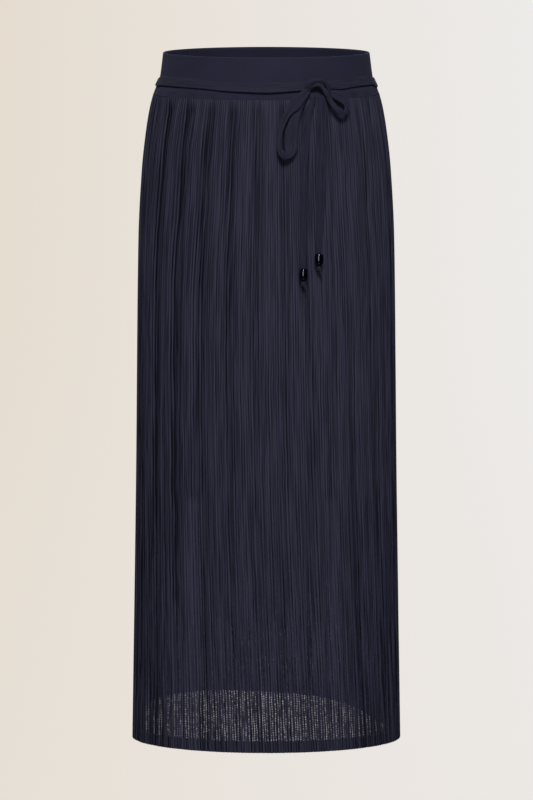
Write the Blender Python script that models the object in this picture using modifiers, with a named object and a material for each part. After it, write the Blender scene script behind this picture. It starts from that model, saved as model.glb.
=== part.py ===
"""Pleated midi skirt with a jersey waistband and a soft tie knotted in a bow.

Units are metres and +Z is up. The front faces -Y. Left and right are as seen
from the front, so right is +X. The origin is on the waist's axis, at half the
waistband's height.
"""
import math
from typing import NamedTuple

import bmesh
import bpy
from mathutils import Vector

# ---- driving dimensions ---------------------------------------------------
SEAM_GAP = 0.0003  # between neighbouring pieces
WAISTBAND_WALL = 0.0022  # doubled jersey
SKIRT_WALL = 0.0011  # pleated cloth
PLEATS_PER_PANEL = 100
PLEAT_DEPTH = 0.0018  # crest to valley
PLEAT_DEPTH_AT_SEAM = 0.0005  # pressed flat where the waistband holds them
FOLD_RUN_IN = 0.060  # the large folds reach full depth this far below the seam
WAISTBAND_COLUMNS = 28  # on each half
TIE_SIDES = 8
TIE_HALF_THICKNESS = 0.0020
TIE_HEIGHT = -0.0120  # middle of the tie where it runs round the waistband
BEAD_RADIUS = 0.0057
BEAD_HEIGHT = 0.0155
CLEAR_OF_CLOTH = 0.0004  # what hangs on the skirt clears the pleats' crests by this

FRONT_START, FRONT_END = -math.pi / 2, math.pi / 2  # angles round from the front centre
BACK_START, BACK_END = math.pi / 2, 3 * math.pi / 2


class Section(NamedTuple):
    """An upright tube's outline at one height: an ellipse at the outer face."""

    z: float
    half_width: float
    half_depth: float


WAISTBAND_SECTIONS = (
    Section(0.0265, 0.1320, 0.0955),
    Section(0.0240, 0.1336, 0.0968),
    Section(0.0110, 0.1357, 0.0980),
    Section(-0.0050, 0.1378, 0.0990),
    Section(-0.0122, 0.1388, 0.0995),
    Section(-0.0178, 0.1398, 0.1002),
    Section(-0.0215, 0.1430, 0.1025),
    Section(-0.0272, 0.1462, 0.1050),
)
SKIRT_SECTIONS = (
    Section(-0.0278, 0.1468, 0.1052),
    Section(-0.0435, 0.1508, 0.1070),
    Section(-0.0747, 0.1563, 0.1100),
    Section(-0.1269, 0.1620, 0.1150),
    Section(-0.2183, 0.1666, 0.1190),
    Section(-0.5334, 0.1704, 0.1240),
    Section(-0.8731, 0.1759, 0.1285),
)
SILHOUETTE = WAISTBAND_SECTIONS + SKIRT_SECTIONS
HIP = SKIRT_SECTIONS[4]  # the pleats are spaced evenly round this section


class Fold(NamedTuple):
    """A large soft groove that runs from the waistband to the hem."""

    angle_deg: float
    depth: float
    width_deg: float


FOLDS = (
    Fold(-77.0, 0.0024, 2.4),
    Fold(-66.0, 0.0022, 2.0),
    Fold(-57.0, 0.0030, 2.2),
    Fold(-42.0, 0.0042, 2.6),
    Fold(-29.5, 0.0034, 2.4),
    Fold(-17.0, 0.0032, 2.2),
    Fold(-5.0, 0.0026, 2.2),
    Fold(6.5, 0.0020, 2.0),
    Fold(17.5, 0.0028, 2.2),
    Fold(32.0, 0.0018, 2.4),
    Fold(53.0, 0.0028, 2.4),
    Fold(64.0, 0.0030, 2.2),
    Fold(77.5, 0.0024, 2.4),
    Fold(101.0, 0.0026, 2.4),
    Fold(113.5, 0.0034, 2.2),
    Fold(127.0, 0.0024, 2.6),
    Fold(138.5, 0.0036, 2.4),
    Fold(151.0, 0.0028, 2.0),
    Fold(162.5, 0.0034, 2.4),
    Fold(175.5, 0.0024, 2.2),
    Fold(187.0, 0.0032, 2.4),
    Fold(199.5, 0.0026, 2.0),
    Fold(211.0, 0.0036, 2.6),
    Fold(224.5, 0.0028, 2.2),
    Fold(236.0, 0.0034, 2.4),
    Fold(248.5, 0.0026, 2.2),
    Fold(260.0, 0.0024, 2.4),
)


class HemPoint(NamedTuple):
    """How far the back panel's hem rides above the front's at one angle."""

    angle_deg: float
    rise: float


HEM_RISE = (
    HemPoint(90.0, 0.000),
    HemPoint(112.0, 0.000),
    HemPoint(122.0, 0.007),
    HemPoint(131.0, 0.017),
    HemPoint(143.0, 0.028),
    HemPoint(160.0, 0.034),
    HemPoint(180.0, 0.038),
    HemPoint(210.0, 0.043),
    HemPoint(232.0, 0.042),
    HemPoint(248.0, 0.036),
    HemPoint(259.0, 0.022),
    HemPoint(270.0, 0.000),
)


class TiePoint(NamedTuple):
    """A point on the tie's middle line, with half its flat width there."""

    x: float
    z: float
    lift: float  # out from the cloth behind it
    half_width: float


KNOT_X, KNOT_Z, KNOT_LIFT = 0.0665, -0.0115, 0.0075
KNOT_HALF_SIZE = (0.0103, 0.0064, 0.0099)
BELT_HALF_HEIGHT = 0.0049
BELT_KNOT_HALF_ANGLE = math.radians(5.0)  # the belt stops this far short of the knot's middle
BELT_COLUMNS = 56

LOOP_LEFT_ROUTE = (
    TiePoint(0.0585, -0.0192, 0.0078, 0.0030),
    TiePoint(0.0490, -0.0240, 0.0085, 0.0040),
    TiePoint(0.0402, -0.0346, 0.0085, 0.0048),
    TiePoint(0.0323, -0.0523, 0.0085, 0.0056),
    TiePoint(0.0265, -0.0727, 0.0082, 0.0060),
    TiePoint(0.0228, -0.0879, 0.0080, 0.0060),
    TiePoint(0.0246, -0.0987, 0.0080, 0.0056),
    TiePoint(0.0310, -0.1030, 0.0075, 0.0054),
    TiePoint(0.0378, -0.0975, 0.0066, 0.0056),
    TiePoint(0.0402, -0.0833, 0.0052, 0.0060),
    TiePoint(0.0409, -0.0681, 0.0038, 0.0056),
    TiePoint(0.0418, -0.0503, 0.0028, 0.0050),
    TiePoint(0.0444, -0.0350, 0.0028, 0.0042),
    TiePoint(0.0500, -0.0262, 0.0028, 0.0034),
    TiePoint(0.0578, -0.0210, 0.0028, 0.0026),
)
LOOP_RIGHT_ROUTE = (
    TiePoint(0.0750, -0.0196, 0.0078, 0.0030),
    TiePoint(0.0800, -0.0242, 0.0092, 0.0042),
    TiePoint(0.0862, -0.0300, 0.0104, 0.0050),
    TiePoint(0.0932, -0.0374, 0.0110, 0.0052),
    TiePoint(0.0992, -0.0453, 0.0104, 0.0052),
    TiePoint(0.1015, -0.0515, 0.0078, 0.0050),
    TiePoint(0.0978, -0.0520, 0.0046, 0.0050),
    TiePoint(0.0912, -0.0458, 0.0030, 0.0050),
    TiePoint(0.0848, -0.0366, 0.0028, 0.0046),
    TiePoint(0.0800, -0.0278, 0.0028, 0.0038),
    TiePoint(0.0762, -0.0214, 0.0028, 0.0028),
)
TAIL_LEFT_ROUTE = (
    TiePoint(0.0638, -0.0234, 0.0028, 0.0026),
    TiePoint(0.0594, -0.0320, 0.0028, 0.0036),
    TiePoint(0.0562, -0.0480, 0.0028, 0.0044),
    TiePoint(0.0546, -0.0914, 0.0028, 0.0046),
    TiePoint(0.0529, -0.1554, 0.0028, 0.0044),
    TiePoint(0.0504, -0.2067, 0.0030, 0.0038),
    TiePoint(0.0484, -0.2418, 0.0060, 0.0026),
)
TAIL_RIGHT_ROUTE = (
    TiePoint(0.0705, -0.0232, 0.0028, 0.0026),
    TiePoint(0.0704, -0.0320, 0.0028, 0.0036),
    TiePoint(0.0694, -0.0480, 0.0028, 0.0042),
    TiePoint(0.0683, -0.0918, 0.0028, 0.0044),
    TiePoint(0.0666, -0.1557, 0.0028, 0.0044),
    TiePoint(0.0671, -0.1950, 0.0032, 0.0038),
    TiePoint(0.0677, -0.2235, 0.0060, 0.0026),
)
END_KNOT_HALF_SIZE = (0.0034, 0.0030, 0.0042)
END_KNOT_LEAN = 0.0012  # the end knots hang a little to the right of their beads


# ---- materials ------------------------------------------------------------
def material(name, colour, roughness):
    """A Principled material. colour is linear RGB."""
    result = bpy.data.materials.new(name)
    result.use_nodes = True
    shader = result.node_tree.nodes["Principled BSDF"]
    shader.inputs["Base Color"].default_value = (*colour, 1.0)
    shader.inputs["Roughness"].default_value = roughness
    return result


# ---- helpers --------------------------------------------------------------
def add_object(name, bm, finish, smooth=True):
    """Turns a bmesh into an object in the skirt's collection."""
    mesh = bpy.data.meshes.new(name)
    bm.to_mesh(mesh)
    bm.free()
    mesh.materials.append(finish)
    if smooth:
        mesh.shade_smooth()
        mesh.set_sharp_from_angle(angle=math.radians(50.0))
    piece = bpy.data.objects.new(name, mesh)
    collection.objects.link(piece)
    return piece


def section_at(z):
    """Half-width and half-depth of the outer cloth at a height."""
    if z >= SILHOUETTE[0].z:
        return SILHOUETTE[0].half_width, SILHOUETTE[0].half_depth
    for above, below in zip(SILHOUETTE, SILHOUETTE[1:]):
        if z >= below.z:
            share = (above.z - z) / (above.z - below.z)
            width = above.half_width + share * (below.half_width - above.half_width)
            depth = above.half_depth + share * (below.half_depth - above.half_depth)
            return width, depth
    return SILHOUETTE[-1].half_width, SILHOUETTE[-1].half_depth


def ellipse_point(half_width, half_depth, angle, z, outward=0.0):
    """A point on a section's ellipse, moved out along the ellipse's normal."""
    normal = Vector((math.sin(angle) / half_width, -math.cos(angle) / half_depth, 0.0))
    normal.normalize()
    on_edge = Vector((half_width * math.sin(angle), -half_depth * math.cos(angle), z))
    return on_edge + normal * outward


def on_front(x, z, lift):
    """The point at x and z in front of the cloth, lifted clear of it."""
    half_width, half_depth = section_at(z)
    across = x / (half_width + lift)
    return Vector((x, -(half_depth + lift) * math.sqrt(1.0 - across * across), z))


def front_normal(x, z):
    """The cloth's outward direction at x and z on the front."""
    half_width, half_depth = section_at(z)
    across = x / half_width
    normal = Vector((across / half_width, -math.sqrt(1.0 - across * across) / half_depth, 0.0))
    return normal.normalized()


def even_angles(start, end, count):
    """count + 1 angles from start to end, evenly spaced along the hip section.

    Both ends are drawn in, so the side seams are SEAM_GAP wide at the waist.
    """
    steps = 4000
    inset = SEAM_GAP / 2 / WAISTBAND_SECTIONS[0].half_depth
    first, last = start + inset, end - inset
    lengths = [0.0]
    for step in range(steps):
        angle = first + (last - first) * (step + 0.5) / steps
        run = math.hypot(HIP.half_width * math.cos(angle), HIP.half_depth * math.sin(angle))
        lengths.append(lengths[-1] + run)
    angles = []
    step = 0
    for index in range(count + 1):
        target = lengths[-1] * index / count
        while step < steps - 1 and lengths[step + 1] < target:
            step += 1
        share = (target - lengths[step]) / (lengths[step + 1] - lengths[step])
        angles.append(first + (last - first) * (step + share) / steps)
    return angles


def grid(rows):
    """A bmesh sheet through rows of points, each row running left to right."""
    bm = bmesh.new()
    verts = [[bm.verts.new(point) for point in row] for row in rows]
    for upper, lower in zip(verts, verts[1:]):
        for column in range(len(upper) - 1):
            bm.faces.new((upper[column], lower[column], lower[column + 1], upper[column + 1]))
    return bm


def close_tube(bm, rings):
    """Skins a run of rings, caps both ends and points the faces out."""
    count = len(rings[0])
    for near, far in zip(rings, rings[1:]):
        for side in range(count):
            following = (side + 1) % count
            bm.faces.new((near[side], near[following], far[following], far[side]))
    bm.faces.new(rings[0])
    bm.faces.new(rings[-1])
    bmesh.ops.recalc_face_normals(bm, faces=bm.faces)


def add_wall(piece, thickness):
    """Gives an open sheet its thickness, inwards from the modelled outer face."""
    wall = piece.modifiers.new("Cloth wall", "SOLIDIFY")
    wall.thickness = thickness
    wall.offset = -1.0
    wall.use_even_offset = True


def eased(value):
    """Smooth step of a value held between 0 and 1."""
    value = min(1.0, max(0.0, value))
    return value * value * (3.0 - 2.0 * value)


def smooth_route(points, steps):
    """A smooth curve through the points, steps pieces to each span."""
    ends = [points[0], *points, points[-1]]
    route = []
    for before, start, stop, after in zip(ends, ends[1:], ends[2:], ends[3:]):
        for step in range(steps):
            t = step / steps
            route.append(tuple(
                0.5 * (2 * b + (c - a) * t + (2 * a - 5 * b + 4 * c - d) * t * t
                       + (3 * b - a - 3 * c + d) * t ** 3)
                for a, b, c, d in zip(before, start, stop, after)
            ))
    route.append(tuple(points[-1]))
    return route


# ---- pieces ---------------------------------------------------------------
def waistband_half(name, start, end):
    """Half of the waistband: its upright section carried round half the waist."""
    bm = bmesh.new()
    rings = []
    for angle in even_angles(start, end, WAISTBAND_COLUMNS):
        outer = [ellipse_point(s.half_width, s.half_depth, angle, s.z) for s in WAISTBAND_SECTIONS]
        inner = [
            ellipse_point(s.half_width, s.half_depth, angle, s.z, -WAISTBAND_WALL)
            for s in reversed(WAISTBAND_SECTIONS)
        ]
        rings.append([bm.verts.new(point) for point in outer + inner])
    close_tube(bm, rings)
    add_object(name, bm, jersey)


def fold_depth(angle):
    """How far the large folds draw the cloth in at an angle."""
    depth = 0.0
    for fold in FOLDS:
        away = (math.degrees(angle) - fold.angle_deg) / fold.width_deg
        depth += fold.depth * math.exp(-away * away)
    return depth


def hem_rise(angle):
    """How far the hem rides up at an angle: nothing all across the front."""
    degrees = math.degrees(angle)
    for start, stop in zip(HEM_RISE, HEM_RISE[1:]):
        if start.angle_deg <= degrees <= stop.angle_deg:
            share = (degrees - start.angle_deg) / (stop.angle_deg - start.angle_deg)
            return start.rise + eased(share) * (stop.rise - start.rise)
    return 0.0


def skirt_panel(name, start, end):
    """One pleated panel: zigzag pleats on the skirt's form, drawn in by folds."""
    angles = even_angles(start, end, 2 * PLEATS_PER_PANEL)
    top, hem = SKIRT_SECTIONS[0], SKIRT_SECTIONS[-1]
    rows = []
    for section in SKIRT_SECTIONS:
        pleat = PLEAT_DEPTH_AT_SEAM if section is top else PLEAT_DEPTH
        folded = eased((top.z - section.z) / FOLD_RUN_IN)
        row = []
        for column, angle in enumerate(angles):
            inward = folded * fold_depth(angle)
            if column % 2 == 0:
                inward += pleat
            z = section.z + (hem_rise(angle) if section is hem else 0.0)
            row.append(ellipse_point(section.half_width, section.half_depth, angle, z, -inward))
        rows.append(row)
    add_wall(add_object(name, grid(rows), plisse, smooth=False), SKIRT_WALL)


def tie_belt():
    """The tie round the waistband: an oval tube made from the waistband's face."""
    tall, thick = BELT_HALF_HEIGHT, TIE_HALF_THICKNESS
    middle = CLEAR_OF_CLOTH + thick
    outline = []
    for side in range(TIE_SIDES):
        turn = 2 * math.pi * (side + 0.5) / TIE_SIDES
        outline.append((tall * math.sin(turn), middle + thick * math.cos(turn)))
    knot_angle = math.asin(KNOT_X / (section_at(KNOT_Z)[0] + middle))
    first = knot_angle + BELT_KNOT_HALF_ANGLE
    last = knot_angle - BELT_KNOT_HALF_ANGLE + 2 * math.pi
    bm = bmesh.new()
    rings = []
    for column in range(BELT_COLUMNS + 1):
        angle = first + (last - first) * column / BELT_COLUMNS
        ring = []
        for up, out in outline:
            z = TIE_HEIGHT + up
            half_width, half_depth = section_at(z)
            ring.append(bm.verts.new(ellipse_point(half_width, half_depth, angle, z, out)))
        rings.append(ring)
    close_tube(bm, rings)
    add_object("tie_belt", bm, jersey)


def tie_stretch(name, route_points, steps, level_end=False):
    """A flattened stretch of the tie along a route of TiePoints.

    Its flat side starts against the cloth, rolls over where the route turns
    back, and settles against the cloth again. Its last ring hangs level where
    a bead follows.
    """
    route = [TiePoint(*values) for values in smooth_route(route_points, steps)]
    line = [on_front(p.x, p.z, p.lift) for p in route]
    flat = front_normal(route[0].x, route[0].z)
    bm = bmesh.new()
    rings = []
    for index, centre in enumerate(line):
        before, after = line[max(index - 1, 0)], line[min(index + 1, len(line) - 1)]
        along = (after - before).normalized()
        if level_end and index == len(line) - 1:
            along = Vector((0.0, 0.0, -1.0))
        cloth = front_normal(route[index].x, route[index].z)
        facing = flat.dot(cloth)
        flat = flat.lerp(cloth * math.copysign(1.0, facing), abs(facing))
        flat = (flat - along * flat.dot(along)).normalized()
        across = along.cross(flat)
        ring = []
        for side in range(TIE_SIDES):
            turn = 2 * math.pi * (side + 0.5) / TIE_SIDES
            offset = across * route[index].half_width * math.cos(turn)
            offset += flat * TIE_HALF_THICKNESS * math.sin(turn)
            ring.append(bm.verts.new(centre + offset))
        rings.append(ring)
    close_tube(bm, rings)
    add_object(name, bm, jersey)
    return line[-1]


def tie_knot():
    """The bow's knot: a rounded lump from a coarse cage."""
    bm = bmesh.new()
    bmesh.ops.create_cube(bm, size=2.0)
    cage_to_round = 1.28  # subdivision draws a cube's faces in by about this much
    bmesh.ops.scale(bm, vec=[half * cage_to_round for half in KNOT_HALF_SIZE], verts=bm.verts)
    piece = add_object("tie_knot", bm, jersey)
    piece.location = on_front(KNOT_X, KNOT_Z, KNOT_LIFT)
    facing = front_normal(KNOT_X, KNOT_Z)
    piece.rotation_euler.z = math.atan2(facing.x, -facing.y)
    rounding = piece.modifiers.new("Rounding", "SUBSURF")
    rounding.levels = rounding.render_levels = 2


def bead(name, top):
    """A barrel bead on its own axis, turned from a profile."""
    profile = [(0.0, 0.5), (0.42, 0.5), (0.72, 0.44), (0.94, 0.24), (1.0, 0.0)]
    profile += [(across, -up) for across, up in reversed(profile[:-1])]
    bm = bmesh.new()
    verts = [bm.verts.new((BEAD_RADIUS * a, 0.0, BEAD_HEIGHT * u)) for a, u in profile]
    for upper, lower in zip(verts, verts[1:]):
        bm.edges.new((upper, lower))
    piece = add_object(name, bm, gloss)
    piece.location = top - Vector((0.0, 0.0, SEAM_GAP + BEAD_HEIGHT / 2))
    turning = piece.modifiers.new("Turning", "SCREW")
    turning.steps = turning.render_steps = 14
    turning.use_merge_vertices = True
    turning.merge_threshold = 0.00001
    return piece.location


def end_knot(name, bead_centre):
    """The small knot that keeps a bead on its tail."""
    bm = bmesh.new()
    bmesh.ops.create_uvsphere(bm, u_segments=10, v_segments=6, radius=1.0)
    bmesh.ops.scale(bm, vec=END_KNOT_HALF_SIZE, verts=bm.verts)
    piece = add_object(name, bm, jersey)
    drop = BEAD_HEIGHT / 2 + SEAM_GAP + END_KNOT_HALF_SIZE[2]
    piece.location = bead_centre + Vector((END_KNOT_LEAN, 0.0, -drop))


# ---- build ----------------------------------------------------------------
for old in list(bpy.data.objects):
    bpy.data.objects.remove(old, do_unlink=True)

collection = bpy.data.collections.new("pleated_midi_skirt")
bpy.context.scene.collection.children.link(collection)
jersey = material("Navy knitted jersey", (0.021, 0.021, 0.039), 0.85)
plisse = material("Navy pleated knit", (0.023, 0.022, 0.038), 0.80)
gloss = material("Black moulded plastic", (0.004, 0.004, 0.005), 0.12)

waistband_half("waistband_front", FRONT_START, FRONT_END)
waistband_half("waistband_back", BACK_START, BACK_END)
skirt_panel("skirt_front", FRONT_START, FRONT_END)
skirt_panel("skirt_back", BACK_START, BACK_END)
tie_belt()
tie_knot()
tie_stretch("tie_loop_left", LOOP_LEFT_ROUTE, 2)
tie_stretch("tie_loop_right", LOOP_RIGHT_ROUTE, 2)
for side_name, tail_route in (("left", TAIL_LEFT_ROUTE), ("right", TAIL_RIGHT_ROUTE)):
    tail_end = tie_stretch(f"tie_tail_{side_name}", tail_route, 2, level_end=True)
    centre = bead(f"bead_{side_name}", tail_end)
    end_knot(f"end_knot_{side_name}", centre)
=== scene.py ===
"""Looks of the pleated midi skirt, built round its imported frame.

Units are metres and +Z is up. The front faces -Y, and left and right are as seen
from the front, so right is +X. Angles run round the waist's axis from the front
centre, growing towards the right.
"""

import logging
import math
from collections.abc import Callable
from dataclasses import dataclass, fields
from enum import Enum
from functools import partial

import bmesh
import bpy
import numpy as np
from bpy.types import Material, Mesh, Node, NodeSocket, NodeTree, Object
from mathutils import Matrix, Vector


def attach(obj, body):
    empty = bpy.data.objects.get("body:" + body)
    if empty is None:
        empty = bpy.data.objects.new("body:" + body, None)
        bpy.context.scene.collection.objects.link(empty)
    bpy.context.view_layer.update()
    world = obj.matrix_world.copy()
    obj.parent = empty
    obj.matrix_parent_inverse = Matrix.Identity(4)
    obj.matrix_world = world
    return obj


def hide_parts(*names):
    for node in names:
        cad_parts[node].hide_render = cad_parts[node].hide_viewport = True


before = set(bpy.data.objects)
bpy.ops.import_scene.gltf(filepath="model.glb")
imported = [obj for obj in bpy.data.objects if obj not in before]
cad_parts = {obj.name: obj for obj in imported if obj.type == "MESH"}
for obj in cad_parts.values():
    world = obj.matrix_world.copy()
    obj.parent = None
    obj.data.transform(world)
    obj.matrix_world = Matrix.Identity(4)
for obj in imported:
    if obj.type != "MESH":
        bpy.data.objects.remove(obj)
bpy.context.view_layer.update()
BODY = "root"
log = logging.getLogger("pleated_midi_skirt")

AddNode = Callable[..., Node]  # add_node with its tree given already

# ---- sizes shared with the solids ------------------------------------------
SEAM_GAP = 0.0003  # between a bead and the knots beside it
SEAM_LAP = 0.00003  # how far the halves pass each other where they are sewn
PLEATS_PER_PANEL = 100
TIE_HALF_THICKNESS = 0.0020
TIE_HEIGHT = -0.0120  # middle of the tie where it runs round the waistband
KNOT_X, KNOT_Z = 0.0665, -0.0115
BEAD_RADIUS = 0.0057
BEAD_HEIGHT = 0.0155
HEM_DEPTH = 0.0155  # the turned-up hem, which is double and lets no light through


class Side(Enum):
    """The two halves that the skirt is sewn from."""

    FRONT = "front"
    BACK = "back"

    @property
    def start(self) -> float:
        """The angle of the half's first side seam."""
        return -math.pi / 2 if self is Side.FRONT else math.pi / 2

    @property
    def end(self) -> float:
        """The angle of the half's second side seam."""
        return self.start + math.pi


class Slot(Enum):
    """The record's material slots."""

    JERSEY = "jersey"
    PLEATED_KNIT = "pleated_knit"
    TIE = "tie_jersey"
    BEAD = "bead"


# ---- helpers ----------------------------------------------------------------
def linear(colour: str) -> tuple[float, float, float, float]:
    """Turns an sRGB hex colour into linear RGBA.

    Args:
        colour: '#' and six hex digits.

    Returns:
        The linear colour, opaque.
    """
    channels = [int(colour[first:first + 2], 16) / 255 for first in (1, 3, 5)]
    return (*(c / 12.92 if c <= 0.04045 else ((c + 0.055) / 1.055) ** 2.4 for c in channels), 1.0)


def add_node(
    tree: NodeTree,
    kind: str,
    *values: object,
    named: dict[str | int, object] | None = None,
    **settings: object,
) -> Node:
    """Adds a node to a tree with its settings and its inputs.

    Args:
        tree: The material's or modifier's node tree.
        kind: The node's type name.
        *values: What its first inputs take: values, sockets, or nodes for their first output.
        named: The same for other inputs, by name or number.
        **settings: Attributes to set on the node.

    Returns:
        The new node.
    """
    node = tree.nodes.new(kind)
    for name, value in settings.items():
        setattr(node, name, value)
    for key, value in [*enumerate(values), *(named or {}).items()]:
        source = value.outputs[0] if isinstance(value, Node) else value
        if isinstance(source, NodeSocket):
            tree.links.new(source, node.inputs[key])
        else:
            node.inputs[key].default_value = source
    return node


def rows_of(row_class: type, *rows: tuple) -> tuple:
    """A table whose columns are named by the class of its rows."""
    return tuple(row_class(*row) for row in rows)


def smooth_through(at: np.ndarray, places: list[float], values: list[float]) -> np.ndarray:
    """A smooth curve through values that never swings past them.

    Args:
        at: Where to read the curve.
        places: Where the values stand, in any order.
        values: The values.

    Returns:
        The curve at each place asked for, held level beyond both ends.
    """
    order = np.argsort(places)
    x, y = np.asarray(places)[order], np.asarray(values)[order]
    steps = np.diff(x)
    slopes = np.diff(y) / steps
    tangents = np.concatenate([slopes[:1], np.zeros(len(x) - 2), slopes[-1:]])
    for index, (before, after) in enumerate(zip(slopes, slopes[1:]), start=1):
        if before * after > 0:
            tangents[index] = 2 * before * after / (before + after)
    at = np.clip(at, x[0], x[-1])
    cell = np.clip(np.searchsorted(x, at) - 1, 0, len(steps) - 1)
    t, step = (at - x[cell]) / steps[cell], steps[cell]
    return (
        (1 + 2 * t) * (1 - t) ** 2 * y[cell]
        + t * (1 - t) ** 2 * step * tangents[cell]
        + t * t * (3 - 2 * t) * y[cell + 1]
        + t * t * (t - 1) * step * tangents[cell + 1]
    )


def read_off(table: tuple, column: str, at: np.ndarray) -> np.ndarray:
    """A smooth curve through one column of a table, over the places in its first column."""
    places, values = ([getattr(row, name) for row in table] for name in (fields(table[0])[0].name, column))
    return smooth_through(at, places, values)


def eased(value: np.ndarray) -> np.ndarray:
    """Smooth step of values held between 0 and 1."""
    value = np.clip(value, 0.0, 1.0)
    return value * value * (3.0 - 2.0 * value)


def bulged(value: np.ndarray, power: float) -> np.ndarray:
    """A power of each value's size, with the value's own sign."""
    return np.sign(value) * np.abs(value) ** power


def turns(count: int, shift: float = 0.0) -> np.ndarray:
    """Even steps round a full turn, moved on by a share of a step."""
    return 2 * math.pi * (np.arange(count) + shift) / count


def revolved(radius: np.ndarray, height: np.ndarray, turn: np.ndarray) -> np.ndarray:
    """A profile turned round the upright axis, with a row of points for each place on it."""
    upright = np.broadcast_to(height[:, None], (len(radius), len(turn)))
    return np.stack([radius[:, None] * np.sin(turn), -radius[:, None] * np.cos(turn), upright], axis=-1)


def run_of(points: np.ndarray) -> np.ndarray:
    """The length along a line of points, up to each of them."""
    return np.concatenate([[0.0], np.cumsum(np.linalg.norm(np.diff(points, axis=0), axis=1))])


def girth_of(ring: np.ndarray) -> np.ndarray:
    """The length round a closed ring of points, up to each of them and back to its start."""
    return run_of(np.vstack([ring, ring[:1]]))


def skin(
    name: str,
    points: np.ndarray,
    across: np.ndarray,
    along: np.ndarray,
    closed: bool = False,
    capped: bool = False,
) -> Mesh:
    """Quads over a grid of points, with a UV map of the cloth in metres.

    Args:
        name: The mesh's name.
        points: Rows of points, each row running left to right as seen from outside.
        across: The cloth's coordinate at each column, with one more if the rows close.
        along: The cloth's coordinate at each row.
        closed: Whether each row joins up with its own start.
        capped: Whether the first and the last row are filled.

    Returns:
        The mesh, shaded smooth.
    """
    rows, columns = points.shape[:2]
    index = np.arange(rows * columns).reshape(rows, columns)
    column = np.arange(columns if closed else columns - 1)
    following = (column + 1) % columns
    upper, lower = index[:-1], index[1:]
    quads = np.stack([upper[:, column], lower[:, column], lower[:, following], upper[:, following]], axis=-1)
    faces = quads.reshape(-1, 4).tolist()
    if capped:
        faces += [index[0].tolist(), index[-1][::-1].tolist()]
    mesh = bpy.data.meshes.new(name)
    mesh.from_pydata(points.reshape(-1, 3).tolist(), [], faces)
    uv = np.zeros((len(mesh.loops), 2), np.float32)
    u = np.stack([across[column], across[column], across[column + 1], across[column + 1]], axis=-1)
    v = np.stack([along[:-1], along[1:], along[1:], along[:-1]], axis=-1)
    uv[:quads.size, 0] = np.broadcast_to(u, quads.shape).ravel()
    uv[:quads.size, 1] = np.broadcast_to(v[:, None, :], quads.shape).ravel()
    mesh.uv_layers.new(name="cloth").data.foreach_set("uv", uv.ravel())
    mesh.shade_smooth()
    return mesh


def new_object(name: str, data: bpy.types.ID) -> Object:
    """Puts a new object in the scene, at the origin.

    Args:
        name: The object's name.
        data: Its mesh, lamp or camera.

    Returns:
        The object.
    """
    result = bpy.data.objects.new(name, data)
    bpy.context.scene.collection.objects.link(result)
    return result


def new_piece(name: str, mesh: Mesh) -> Object:
    """Makes a mesh a piece that rides on the skirt's body.

    Args:
        name: The piece's name.
        mesh: The finished mesh.

    Returns:
        The piece.
    """
    piece = new_object(name, mesh)
    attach(piece, BODY)
    return piece


def place(node: str, mesh: Mesh, slot: Slot, finish: Material | None = None) -> Object:
    """Makes a mesh a piece of the skirt, in place of a solid.

    Args:
        node: The solid's name, which the piece's name starts with.
        mesh: The finished mesh.
        slot: The record's slot for its finish, which here only picks the ending of the piece's name.
        finish: Its material, if the mesh has none yet.

    Returns:
        The piece, riding on the skirt's body.
    """
    if finish:
        mesh.materials.append(finish)
    piece = new_piece(f"{node}_{'turned' if slot is Slot.BEAD else 'cloth'}", mesh)
    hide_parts(node)
    return piece


# ---- kinds of node, and settings that several of them share -------------------
MATH = "ShaderNodeMath"
RANGE = "ShaderNodeMapRange"  # takes a value, its two bounds, and what each bound becomes
NOISE = "ShaderNodeTexNoise"
WHITE_NOISE = "ShaderNodeTexWhiteNoise"
COORDINATES = "ShaderNodeTexCoord"
COMBINE = "ShaderNodeCombineXYZ"
SEPARATE = "ShaderNodeSeparateXYZ"
MIX = "ShaderNodeMix"
BUMP = "ShaderNodeBump"
PRINCIPLED = "ShaderNodeBsdfPrincipled"
SMOOTH = {"interpolation_type": "SMOOTHSTEP"}
FLAT = {"noise_dimensions": "2D"}
COLOURS = {"data_type": "RGBA"}


# ---- finishes ---------------------------------------------------------------
@dataclass(frozen=True)
class Finish:
    """A material made of nodes, of which one is its surface."""

    name: str

    def build(self) -> Material:
        """Builds the material.

        Returns:
            The material, which reads the piece's own coordinates and attributes.
        """
        result = bpy.data.materials.new(self.name)
        result.use_nodes = True
        result.node_tree.nodes.clear()
        add = partial(add_node, result.node_tree)
        add("ShaderNodeOutputMaterial", self.surface(add))
        return result

    def surface(self, add: AddNode) -> Node:
        """Adds the nodes and gives the one that is the surface."""
        raise NotImplementedError


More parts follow.
